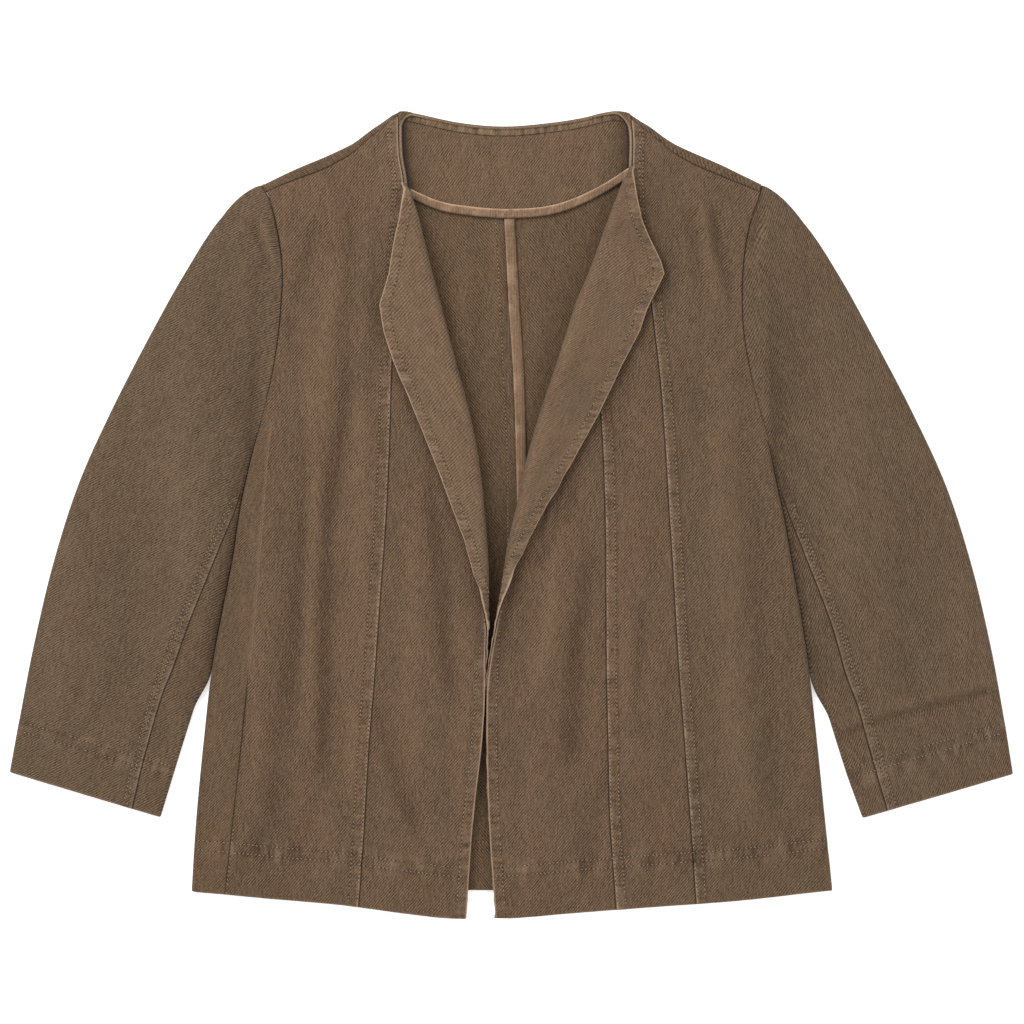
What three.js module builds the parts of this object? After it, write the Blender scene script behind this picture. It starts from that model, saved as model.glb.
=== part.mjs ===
import * as THREE from 'three';

// A cropped, open-front blazer laid out face up. Millimetres, +Z up.
// x runs to the viewer's right, y runs from the hem up to the collar.
// "left" and "right" are the viewer's left and right.

const CLOTH = 1.2; // wall of a cloth panel
const TAPE = 1.0; // wall of a bias tape
const LAYER_GAP = 0.3; // room between two layers that lie on each other
const TRIM = 0.15; // each piece stops this far short of a shared seam
const SHOULDER_TRIM = 0.7; // room at the curved shoulder seam
const PLY = CLOTH + LAYER_GAP; // from the middle of one layer to the middle of the next
const TURN_PLY = PLY + 0.3; // the same round the turn and over the lapel
const REST = CLOTH / 2; // middle of the cloth that lies on the surface
const LIE = 4.4; // middle of the front layer where it lies quietly over the back
const ROLL_SPREAD = 30; // how far the front takes to sink away from the roll line
const FLAP_REST = 2.4; // lapel edge above the front below it
const CENTRE_BACK_X = -2.6;
const CHEST_Y = 180; // above this the rows fan out towards the shoulder
const SKIRT_Y = -150; // below this the rows bend to the hem
const BACK_HEM_Y = -282;
const FOLD_UNDER = 10; // the right side turns this far under

const CLOTH_COLOURS = {
  front: '#6e5a47',
  side: '#6b5645',
  lapel: '#7b644f',
  back: '#66523f',
  neck: '#765f4a',
  sleeve: '#6b5848',
  tape: '#917561',
};

// Outline of one side at heights y: the armhole and side fold, the side seam,
// the seams of the front, the roll line or front edge, and the lapel's outer edge.
const LEFT_ROWS = [
  { y: 303, side: -187, mid: -85, roll: -85 },
  { y: 268, side: -187, mid: -84, roll: -84 },
  { y: 247, side: -187, mid: -80.8, roll: -79 },
  { y: 240, side: -182.5, mid: -80.8, roll: -76.1, edge: -80.9 },
  { y: 228, side: -178.9, mid: -81.9, roll: -71.2, edge: -82.5 },
  { y: 206, side: -174.1, mid: -83.6, roll: -65.2, edge: -87.2 },
  { y: 180, side: -171.6, mid: -85.4, roll: -58.7, edge: -92.2 },
  { y: 157, side: -172.6, mid: -86.9, roll: -52.3, edge: -99.4 },
  { y: 136, side: -174.6, mid: -88.2, roll: -47.0, edge: -96.1 },
  { y: 110, side: -178.6, mid: -89.5, roll: -40.2, edge: -87.1 },
  { y: 89, side: -183.2, mid: -90.3, roll: -34.6, edge: -78.2 },
  { y: 68, side: -188.5, seam: -180.5, mid: -90.8, roll: -29.3, edge: -69.3 },
  { y: 40, side: -195.7, seam: -183.4, mid: -91.8, roll: -24.4, edge: -57.9 },
  { y: 5, side: -203.2, seam: -186.1, mid: -93.4, roll: -20.3, edge: -44.5 },
  { y: -35, side: -209.3, seam: -189.3, mid: -96.1, roll: -17.2, edge: -30.7 },
  { y: -55, side: -213.2, seam: -190.9, mid: -97.7, roll: -16.8, edge: -25.2 },
  { y: -75, side: -217.2, seam: -192.7, mid: -99.1, roll: -17.1 },
  { y: -110, side: -223.7, seam: -196.2, mid: -101.5, roll: -18.7 },
  { y: -170, side: -230.9, seam: -202.2, mid: -106.4, roll: -22.5 },
  { y: -225, side: -236.2, seam: -208.4, mid: -109.6, roll: -28.2 },
  { y: -303, side: -241.1, seam: -217.1, mid: -115.0, roll: -33.8 },
];
const RIGHT_ROWS = [
  { y: 303, side: 188, mid: 89, outer: 89, roll: 89 },
  { y: 280, side: 188, mid: 91, outer: 91, roll: 91 },
  { y: 257, side: 188, mid: 90.5, outer: 90.5, roll: 87.6 },
  { y: 247, side: 187.5, mid: 90.6, outer: 90.6, roll: 82.4, edge: 92.2 },
  { y: 238, side: 185.4, mid: 91, outer: 91, roll: 79, edge: 93.5 },
  { y: 222, side: 179.8, mid: 92, outer: 92, roll: 72.7, edge: 96.9 },
  { y: 206, side: 176.1, mid: 93.6, outer: 95.2, roll: 67.3, edge: 103.8 },
  { y: 180, side: 173.2, mid: 82, outer: 101.6, roll: 57.7, edge: 115.0 },
  { y: 154, side: 172.9, mid: 72, outer: 105.1, roll: 46.8, edge: 102.3 },
  { y: 136, side: 174.2, mid: 68, outer: 107.3, roll: 41.2, edge: 95.9 },
  { y: 110, side: 178.6, mid: 66, outer: 110.5, roll: 32.7, edge: 82.2 },
  { y: 84, side: 185.0, mid: 66.1, outer: 112.8, roll: 23.9, edge: 70.1 },
  { y: 57, side: 192.3, mid: 68.1, outer: 114.8, roll: 15.7, edge: 55.7 },
  { y: 30, side: 197.4, mid: 69.3, outer: 116.5, roll: 8.8, edge: 40.5 },
  { y: 0, side: 204.0, mid: 70.1, outer: 118.3, roll: 2.2, edge: 22.7 },
  { y: -30, side: 209.4, mid: 70.6, outer: 120.3, roll: -4.1, edge: 7.9 },
  { y: -55, side: 213.6, mid: 70.7, outer: 121.8, roll: -7.6 },
  { y: -75, side: 216.9, mid: 70.8, outer: 122.9, roll: -10.6 },
  { y: -110, side: 222.3, mid: 71, outer: 125.0, roll: -15.5 },
  { y: -170, side: 229.2, mid: 72.2, outer: 129.5, roll: -17.9 },
  { y: -225, side: 234.8, mid: 73.5, outer: 133.6, roll: -16.7 },
  { y: -303, side: 242.6, mid: 79.0, outer: 139.1, roll: -12.0 },
];

// How the front edge turns at height y: angle of the turn, length round it,
// length of the flap beyond a turn that is not complete, and lift of the roll line.
const LEFT_TURN = [
  { y: 303, angle: 180, round: 6, flap: 3, lift: 1.5 },
  { y: 285, angle: 180, round: 6, flap: 3, lift: 4 },
  { y: 262, angle: 180, round: 6, flap: 3, lift: 6.5 },
  { y: 240, angle: 180, round: 6, flap: 3, lift: 7 },
  { y: 206, angle: 180, round: 9, flap: 3, lift: 6.5 },
  { y: 157, angle: 180, round: 11, flap: 3, lift: 5.5 },
  { y: 68, angle: 180, round: 10, flap: 3, lift: 4.2 },
  { y: -55, angle: 180, round: 9, flap: 3, lift: 3.2 },
  { y: -75, angle: 120, round: 8, flap: 3, lift: 3.2 },
  { y: -92, angle: 60, round: 8, flap: 3, lift: 3.4 },
  { y: -110, angle: 22, round: 8, flap: 3, lift: 3.4 },
  { y: -128, angle: 0, round: 8, flap: 3, lift: 3.2 },
  { y: -200, angle: 0, round: 8, flap: 3, lift: 2.0 },
  { y: -303, angle: 0, round: 8, flap: 3, lift: 1.4 },
];
const RIGHT_TURN = [
  { y: 303, angle: 180, round: 6, flap: 3, lift: 1.5 },
  { y: 285, angle: 180, round: 6, flap: 3, lift: 4 },
  { y: 262, angle: 180, round: 6, flap: 3, lift: 6.5 },
  { y: 247, angle: 180, round: 6.5, flap: 3, lift: 7 },
  { y: 206, angle: 180, round: 10, flap: 3, lift: 6.5 },
  { y: 157, angle: 180, round: 12, flap: 3, lift: 5.5 },
  { y: 57, angle: 180, round: 10, flap: 3, lift: 4.2 },
  { y: -30, angle: 180, round: 8.5, flap: 3, lift: 3.4 },
  { y: -55, angle: 150, round: 8, flap: 3.5, lift: 3.2 },
  { y: -75, angle: 105, round: 8, flap: 3, lift: 3.2 },
  { y: -92, angle: 55, round: 8, flap: 3, lift: 3.4 },
  { y: -110, angle: 20, round: 8, flap: 3, lift: 3.4 },
  { y: -128, angle: 0, round: 8, flap: 3, lift: 3.2 },
  { y: -200, angle: 0, round: 8, flap: 3, lift: 2.0 },
  { y: -303, angle: 0, round: 8, flap: 3, lift: 1.4 },
];

// Top outline of collar and shoulders: x, its y, and how far down the shoulder seam runs.
const TOP_LINE = [
  { x: -187, y: 247, seam: 7 },
  { x: -160, y: 259.9, seam: 7.5 },
  { x: -138.4, y: 268.9, seam: 7.5 },
  { x: -125, y: 274.9, seam: 7 },
  { x: -110, y: 285.4, seam: 6 },
  { x: -95, y: 294.4, seam: 4.5 },
  { x: -86, y: 302.3, seam: 3.2 },
  { x: -65, y: 299.6, seam: 0 },
  { x: -35, y: 293.6, seam: 0 },
  { x: -5, y: 291.4, seam: 0 },
  { x: 25, y: 293.6, seam: 0 },
  { x: 55, y: 298, seam: 0 },
  { x: 70, y: 302, seam: 0 },
  { x: 88, y: 302.3, seam: 3.2 },
  { x: 100, y: 293, seam: 4.5 },
  { x: 115, y: 281.6, seam: 6 },
  { x: 130, y: 274.1, seam: 7 },
  { x: 152.6, y: 264.4, seam: 7.5 },
  { x: 188.6, y: 247, seam: 7 },
];

// Hem of the fronts: x and the y of the hem there.
const FRONT_HEM = [
  { x: -243, y: -282 },
  { x: -185, y: -287.6 },
  { x: -125, y: -293 },
  { x: -80, y: -299 },
  { x: -50, y: -302.3 },
  { x: 0, y: -302.3 },
  { x: 55, y: -298 },
  { x: 115, y: -293.6 },
  { x: 175, y: -289 },
  { x: 243, y: -281 },
];

// Lower edge of the neck facing, which the tan tape binds.
const NECK_LOWER = [
  { x: -110, y: 258 },
  { x: -74.6, y: 237.4 },
  { x: -55, y: 229 },
  { x: -30, y: 224.6 },
  { x: 0, y: 222.8 },
  { x: 35.6, y: 226.9 },
  { x: 67, y: 240.4 },
  { x: 82, y: 249.4 },
  { x: 110, y: 264 },
];
const NECK_REACH = { left: -104, right: 106 }; // ends of the neck facing, under the collar
const TAPE_REACH = { left: -82, right: 89 };
const TAPE_WIDTH = 7;

// Centre back tape: its left edge and its right edge at height y.
const BACK_TAPE = [
  { y: 221, left: -5.3, right: 2.2 },
  { y: 156, left: -1.9, right: 6.0 },
  { y: 110, left: 1.1, right: 9.0 },
  { y: 40, left: 3.6, right: 11.2 },
  { y: -276, left: 0, right: 7.6 },
];

// Soft folds of the fronts: a line from x0, y0 to x1, y1, its height and half width.
const LEFT_FOLDS = [
  { x0: -160, y0: 175, x1: -166, y1: -270, height: -1.0, width: 9 },
  { x0: -148, y0: 205, x1: -150, y1: -260, height: 1.2, width: 10 },
  { x0: -140, y0: 120, x1: -130, y1: -240, height: -0.8, width: 9 },
  { x0: -120, y0: 60, x1: -116, y1: -250, height: 0.9, width: 9 },
  { x0: -60, y0: 0, x1: -66, y1: -230, height: -0.7, width: 9 },
];
const RIGHT_FOLDS = [
  { x0: 142, y0: 225, x1: 168, y1: 120, height: -0.9, width: 8 },
  { x0: 150, y0: 90, x1: 172, y1: -250, height: 1.0, width: 12 },
  { x0: 190, y0: -40, x1: 200, y1: -260, height: -0.8, width: 10 },
  { x0: 45, y0: -20, x1: 34, y1: -240, height: -0.7, width: 10 },
];
const FOLD_FADE = 45; // length over which a fold dies away
const EDGE_CALM = 14; // folds die away this near to the armhole and side

// Sleeve stations from the armhole to the cuff: the outer and inner edge of the
// flattened sleeve and how far the front seam lies in from the inner edge.
const LEFT_SLEEVE = [
  { outerX: -187, outerY: 246.4, innerX: -188.5, innerY: 68, seam: 3.6 },
  { outerX: -217, outerY: 223, innerX: -193, innerY: 50.5, seam: 3.6 },
  { outerX: -245.5, outerY: 179.6, innerX: -197.6, innerY: 29.6, seam: 3.6 },
  { outerX: -272.6, outerY: 130.9, innerX: -202.9, innerY: 4.9, seam: 4.4 },
  { outerX: -301, outerY: 75.4, innerX: -209.6, innerY: -27.4, seam: 11 },
  { outerX: -325, outerY: 21.4, innerX: -217.1, innerY: -68.6, seam: 19 },
  { outerX: -344, outerY: -38.6, innerX: -224, innerY: -102, seam: 24 },
  { outerX: -358, outerY: -97.9, innerX: -236, innerY: -137.6, seam: 25 },
  { outerX: -368.5, outerY: -150.4, innerX: -251, innerY: -186.4, seam: 24 },
  { outerX: -376.1, outerY: -191.6, innerX: -263, innerY: -225.4, seam: 21.5 },
];
const RIGHT_SLEEVE = [
  { outerX: 188.6, outerY: 246.4, innerX: 192.3, innerY: 57, seam: 4.4 },
  { outerX: 218.6, outerY: 219.4, innerX: 195, innerY: 44.6, seam: 4.4 },
  { outerX: 246.4, outerY: 177.4, innerX: 198.7, innerY: 24.4, seam: 3.6 },
  { outerX: 272, outerY: 130.9, innerX: 203.7, innerY: 3.4, seam: 4.4 },
  { outerX: 301, outerY: 75.4, innerX: 209.7, innerY: -31.1, seam: 10.5 },
  { outerX: 326, outerY: 20.6, innerX: 216, innerY: -67.1, seam: 17.5 },
  { outerX: 345, outerY: -38.6, innerX: 222, innerY: -102, seam: 23 },
  { outerX: 359, outerY: -97.9, innerX: 236, innerY: -144.4, seam: 22.5 },
  { outerX: 369, outerY: -150.4, innerX: 250.5, innerY: -191.6, seam: 21 },
  { outerX: 376.1, outerY: -193.9, innerX: 263, innerY: -225.4, seam: 18.5 },
];
const SLEEVE_PUFF = 0.8; // the sleeve is this much fuller in the middle
const SLEEVE_CLEAR = 0.7; // sleeve edge off the body's edge beside it
const SLEEVE_TRIM = 0.4; // the two sleeve pieces stop this far short of their seams
const UNDER_SEAM = 0.35; // place of the hidden seam across the sleeve's underside

const LEFT = {
  toCentre: 1,
  rows: LEFT_ROWS,
  turn: LEFT_TURN,
  folds: LEFT_FOLDS,
  armholeEnd: 68,
};
const RIGHT = {
  toCentre: -1,
  rows: RIGHT_ROWS,
  turn: RIGHT_TURN,
  folds: RIGHT_FOLDS,
  armholeEnd: 57,
};

const lerp = (a, b, t) => a + (b - a) * t;
const clamp = (t) => Math.min(1, Math.max(0, t));
const smooth = (t) => clamp(t) ** 2 * (3 - 2 * clamp(t));

// Reads a column of a table whose rows are sorted by `key`, straight between rows.
function read(table, key, column, value) {
  const rows = table.filter((row) => row[column] !== undefined);
  const rising = rows[rows.length - 1][key] > rows[0][key];
  const list = rising ? rows : [...rows].reverse();
  if (value <= list[0][key]) return list[0][column];
  for (let i = 1; i < list.length; i += 1) {
    if (value <= list[i][key]) {
      const t = (value - list[i - 1][key]) / (list[i][key] - list[i - 1][key]);
      return lerp(list[i - 1][column], list[i][column], t);
    }
  }
  return list[list.length - 1][column];
}
const line = (side, column, y) => read(side.rows, 'y', column, y);
const turnOf = (side, column, y) => read(side.turn, 'y', column, y);
const topOf = (x) => read(TOP_LINE, 'x', 'y', x);
const shoulderSeam = (x) => topOf(x) - read(TOP_LINE, 'x', 'seam', x);
const hemOf = (x) => read(FRONT_HEM, 'x', 'y', x);

// Height of one fold at a point: a soft bump along its line that dies away at both ends.
function foldHeight(fold, x, y) {
  const length = Math.hypot(fold.x1 - fold.x0, fold.y1 - fold.y0);
  const ux = (fold.x1 - fold.x0) / length;
  const uy = (fold.y1 - fold.y0) / length;
  const along = (x - fold.x0) * ux + (y - fold.y0) * uy;
  const across = (x - fold.x0) * uy - (y - fold.y0) * ux;
  const fade = smooth(along / FOLD_FADE) * smooth((length - along) / FOLD_FADE);
  return fold.height * fade * Math.exp(-((across / fold.width) ** 2));
}

// Middle of the front layer at a point: quiet over the back, risen at the roll line.
function frontHeight(side, x, y) {
  const fromRoll = (line(side, 'roll', y) - x) * side.toCentre;
  const rise = turnOf(side, 'lift', y) * Math.exp(-((fromRoll / ROLL_SPREAD) ** 2));
  const fromSide = Math.abs(x - line(side, 'side', y));
  const calm = smooth(fromSide / EDGE_CALM);
  const folds = side.folds.reduce((sum, fold) => sum + foldHeight(fold, x, y), 0);
  return LIE + rise + folds * calm;
}

// Row level on the body: `base` up to the chest, then a share of the way to the
// shoulder line; below the skirt line the row bends to the hem.
function rowY(level, x, shoulder, hem) {
  if (level.share !== undefined) return lerp(CHEST_Y, shoulder(x), level.share);
  if (level.y >= SKIRT_Y) return level.y;
  const t = (SKIRT_Y - level.y) / (SKIRT_Y - BACK_HEM_Y);
  return lerp(SKIRT_Y, hem(x), t);
}

// Point on a row between two boundary lines, at `share` of the way across.
function rowPoint(level, share, from, to, shoulder, hem) {
  let y = level.y ?? CHEST_Y;
  let x = lerp(from(y), to(y), share);
  for (let pass = 0; pass < 5; pass += 1) {
    y = rowY(level, x, shoulder, hem);
    x = lerp(from(y), to(y), share);
  }
  return { x, y };
}

const difference = (a, b) => a.map((value, k) => value - b[k]);
const cross = (a, b) => [
  a[1] * b[2] - a[2] * b[1],
  a[2] * b[0] - a[0] * b[2],
  a[0] * b[1] - a[1] * b[0],
];
const along = (p, n, distance) => p.map((value, k) => value + n[k] * distance);

// Unit normals of a grid of points, from the cells that are present.
function normalsOf(grid, present) {
  const sums = grid.map((row) => row.map(() => [0, 0, 0]));
  for (let i = 0; i + 1 < grid.length; i += 1) {
    for (let j = 0; j + 1 < grid[i].length; j += 1) {
      if (!present(i, j)) continue;
      const one = difference(grid[i + 1][j + 1], grid[i][j]);
      const two = difference(grid[i + 1][j], grid[i][j + 1]);
      const face = cross(one, two);
      const size = Math.hypot(...face) || 1;
      for (const [a, b] of [[i, j], [i, j + 1], [i + 1, j], [i + 1, j + 1]]) {
        face.forEach((value, k) => {
          sums[a][b][k] += value / size;
        });
      }
    }
  }
  return sums.map((row) => row.map((n) => {
    const size = Math.hypot(...n) || 1;
    return n.map((value) => value / size);
  }));
}

// A closed sheet of cloth round a grid of middle points.
function sheet(name, colour, grid, options = {}) {
  const wall = options.wall ?? CLOTH;
  const present = options.present ?? (() => true);
  const inGrid = (i, j) => i >= 0 && j >= 0 && i + 1 < grid.length
    && j + 1 < grid[0].length && present(i, j);
  const normals = normalsOf(grid, inGrid);
  const points = [];
  const upper = [];
  const lower = [];
  grid.forEach((row, i) => {
    upper.push([]);
    lower.push([]);
    row.forEach((p, j) => {
      upper[i].push(points.push(along(p, normals[i][j], wall / 2)) - 1);
      lower[i].push(points.push(along(p, normals[i][j], -wall / 2)) - 1);
    });
  });
  const faces = [];
  const quad = (a, b, c, d) => faces.push([a, b, c], [a, c, d]);
  for (let i = 0; i + 1 < grid.length; i += 1) {
    for (let j = 0; j + 1 < grid[0].length; j += 1) {
      if (!inGrid(i, j)) continue;
      const ring = [[i, j], [i, j + 1], [i + 1, j + 1], [i + 1, j]];
      const beside = [[i - 1, j], [i, j + 1], [i + 1, j], [i, j - 1]];
      const [a, b, c, d] = ring.map(([r, s]) => upper[r][s]);
      const [e, f, g, h] = ring.map(([r, s]) => lower[r][s]);
      quad(a, b, c, d);
      faces.push([e, g, f], [e, h, g]);
      ring.forEach(([r, s], k) => {
        if (inGrid(...beside[k])) return;
        const [r2, s2] = ring[(k + 1) % 4];
        quad(upper[r2][s2], upper[r][s], lower[r][s], lower[r2][s2]);
      });
    }
  }
  let volume = 0;
  for (const [a, b, c] of faces) {
    const n = cross(points[a], points[b]);
    volume += n[0] * points[c][0] + n[1] * points[c][1] + n[2] * points[c][2];
  }
  const outward = volume > 0 ? faces : faces.map(([a, b, c]) => [a, c, b]);
  const flat = outward.flatMap((face) => face.flatMap((k) => points[k]));
  const geometry = new THREE.BufferGeometry();
  geometry.setAttribute('position', new THREE.Float32BufferAttribute(flat, 3));
  geometry.computeVertexNormals();
  const material = new THREE.MeshStandardMaterial({
    color: colour,
    roughness: 0.95,
    metalness: 0,
    side: THREE.DoubleSide,
  });
  const mesh = new THREE.Mesh(geometry, material);
  mesh.name = name;
  return mesh;
}

const FRONT_LEVELS = {
  left: [157, 136, 110, 89, 68, 40, 5, -35, -75, -110, -170, -225, BACK_HEM_Y],
  right: [154, 136, 110, 84, 57, 30, 0, -30, -75, -110, -170, -225, BACK_HEM_Y],
};
const SHOULDER_SHARES = [1, 0.85, 0.65, 0.42, 0.2];
function bodyLevels(list) {
  return [
    ...SHOULDER_SHARES.map((share) => ({ share })),
    { y: CHEST_Y },
    ...list.map((y) => ({ y })),
  ];
}

// Centre part of a front with its lapel: across the body, round the roll line, out
// along the flap. Below the lapel the turn opens until the edge lies flat.
const BODY_SHARES = [0, 0.2, 0.4, 0.55, 0.7, 0.82, 0.92, 1];
const TURN_STEPS = 5;
const FLAP_STEPS = 4;
function centreGrid(side, seam, levels) {
  const s = side.toCentre;
  return levels.map((level) => {
    const y0 = level.y;
    const angle = (turnOf(side, 'angle', y0) * Math.PI) / 180;
    const round = turnOf(side, 'round', y0);
    const flap = turnOf(side, 'flap', y0);
    const radius = angle > 0.01 ? round / angle : 0;
    const reach = radius
      ? radius * Math.sin(Math.min(angle, Math.PI / 2)) + TURN_PLY + CLOTH / 2
      : round;
    const beyond = angle < Math.PI / 2 ? flap * Math.cos(angle) : 0;
    const cover = angle < Math.PI / 2 ? Math.sin(angle) : 1;
    const inset = radius
      ? radius * Math.sin(Math.min(angle, Math.PI / 2)) + beyond + cover * (TURN_PLY + CLOTH / 2)
      : reach + flap;
    const from = (y) => line(side, seam, y) + s * TRIM;
    const to = (y) => line(side, 'roll', y) - s * inset;
    const points = BODY_SHARES.map((share) => {
      const { x, y } = rowPoint(level, share, from, to, topOf, hemOf);
      return [x, y, frontHeight(side, x, y)];
    });
    const [cx, cy, cz] = points[points.length - 1];
    for (let k = 1; k <= TURN_STEPS; k += 1) {
      const t = (k / TURN_STEPS) * angle;
      const x = radius ? radius * Math.sin(t) : (round * k) / TURN_STEPS;
      const z = radius ? radius * (1 - Math.cos(t)) : 0;
      points.push([cx + s * x, cy, cz + z]);
    }
    const [tx, , tz] = points[points.length - 1];
    const complete = angle > Math.PI - 0.01;
    const edgeX = complete ? line(side, 'edge', y0) : 0;
    for (let k = 1; k <= FLAP_STEPS; k += 1) {
      const t = k / FLAP_STEPS;
      if (complete) {
        const x = lerp(tx, edgeX, t);
        const above = lerp(2 * radius, Math.min(FLAP_REST, 2 * radius), smooth(t));
        points.push([x, cy, frontHeight(side, x, cy) + above]);
      } else {
        const x = tx + s * flap * t * Math.cos(angle);
        points.push([x, cy, tz + flap * t * Math.sin(angle)]);
      }
    }
    return points;
  });
}

// A layer made from the points of another one, moved off its face.
function movedOff(grid, firstColumn) {
  const normals = normalsOf(grid, () => true);
  const up = Math.sign(normals[grid.length - 1][0][2]);
  return grid.map((row, i) => row
    .map((p, j) => along(p, normals[i][j], -(j < BODY_SHARES.length ? PLY : TURN_PLY) * up))
    .slice(firstColumn));
}

const LEFT_LEVELS = [
  240, 228, 206, 180, 157, 136, 110, 89, 68, 40, 5, -35, -55, -75, -92, -110, -128, -170, -225,
  BACK_HEM_Y,
].map((y) => ({ y }));
const RIGHT_LEVELS = [
  247, 238, 222, 206, 180, 154, 136, 110, 84, 57, 30, 0, -30, -55, -75, -92, -110, -128, -170,
  -225, BACK_HEM_Y,
].map((y) => ({ y }));
const leftCentre = centreGrid(LEFT, 'mid', LEFT_LEVELS);
const rightCentre = centreGrid(RIGHT, 'mid', RIGHT_LEVELS);
const FACING_FROM = 2; // column of the centre part where the facing's hidden edge lies

// Side part of a front. On the left its outer strip ends at the armhole's foot, where
// the back comes round. On the right it turns under along the side instead.
const SIDE_SHARES = [0, 0.12, 0.25, 0.38, 0.5, 0.62, 0.75, 0.88, 1];
const ARC = [90, 45, 0, -45, -90]; // degrees round a side fold, from top to bottom
function leftSideSheet() {
  const levels = bodyLevels(FRONT_LEVELS.left);
  const foot = levels.findIndex((level) => level.y === LEFT.armholeEnd);
  const seamX = (y) => (y > LEFT.armholeEnd ? line(LEFT, 'side', y) + 8 : line(LEFT, 'seam', y));
  const grid = levels.map((level, i) => {
    const place = (share, from, to) => {
      const { x, y } = rowPoint(level, share, from, to, (q) => shoulderSeam(q) - SHOULDER_TRIM, hemOf);
      return [x, y, frontHeight(LEFT, x, y)];
    };
    const edge = (y) => line(LEFT, 'side', y) + TRIM;
    const seam = (y) => seamX(y) + TRIM;
    const inner = (y) => line(LEFT, 'mid', y) - TRIM;
    const points = [place(0, edge, seam)];
    SIDE_SHARES.forEach((share) => points.push(place(share, seam, inner)));
    if (i === foot) points[0][1] += TRIM;
    return points;
  });
  const present = (i, j) => j > 0 || i < foot;
  return sheet('front_left_side', CLOTH_COLOURS.front, grid, { present });
}

function rightSideSheet() {
  const levels = bodyLevels(FRONT_LEVELS.right);
  const foot = levels.findIndex((level) => level.y === RIGHT.armholeEnd);
  const inner = (y) => line(RIGHT, 'outer', y) + TRIM;
  const shoulder = (x) => shoulderSeam(x) - SHOULDER_TRIM;
  const grid = levels.map((level, i) => {
    const below = i >= foot;
    const foldX = (y) => line(RIGHT, 'side', y) - CLOTH / 2 - TRIM;
    const radius = (LIE - REST) / 2;
    const edge = (y) => (below ? foldX(y) - radius : line(RIGHT, 'side', y) - TRIM);
    const points = [...SIDE_SHARES].reverse().map((share) => {
      const { x, y } = rowPoint(level, share, edge, inner, shoulder, hemOf);
      return [x, y, frontHeight(RIGHT, x, y)];
    });
    const [ex, ey] = points[points.length - 1];
    ARC.slice(1).forEach((degrees) => {
      const t = (degrees * Math.PI) / 180;
      points.push([ex + radius * Math.cos(t), ey, REST + radius + radius * Math.sin(t)]);
    });
    const foldedTo = ex + radius - FOLD_UNDER;
    points.push([foldedTo, ey, REST]);
    if (i === foot) points.slice(SIDE_SHARES.length).forEach((p) => { p[1] -= 2 * TRIM; });
    return points;
  });
  const present = (i, j) => j + 1 < SIDE_SHARES.length || i >= foot;
  return sheet('front_right_side', CLOTH_COLOURS.side, grid.map((row) => row.reverse()), {
    present: (i, j) => present(i, grid[0].length - 2 - j),
  });
}

// Middle part of the right front, between its two seams; it runs out under the lapel.
const MID_SHARES = [0, 0.25, 0.5, 0.75, 1];
function rightMidSheet() {
  const levels = [
    206, 180, 154, 136, 110, 84, 57, 30, 0, -30, -75, -110, -170, -225, BACK_HEM_Y,
  ].map((y) => ({ y }));
  const from = (y) => line(RIGHT, 'mid', y) + TRIM;
  const to = (y) => line(RIGHT, 'outer', y) - TRIM;
  const grid = levels.map((level) => MID_SHARES.map((share) => {
    const { x, y } = rowPoint(level, share, from, to, topOf, hemOf);
    return [x, y, frontHeight(RIGHT, x, y)];
  }));
  return sheet('front_right_mid', CLOTH_COLOURS.front, grid);
}

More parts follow.
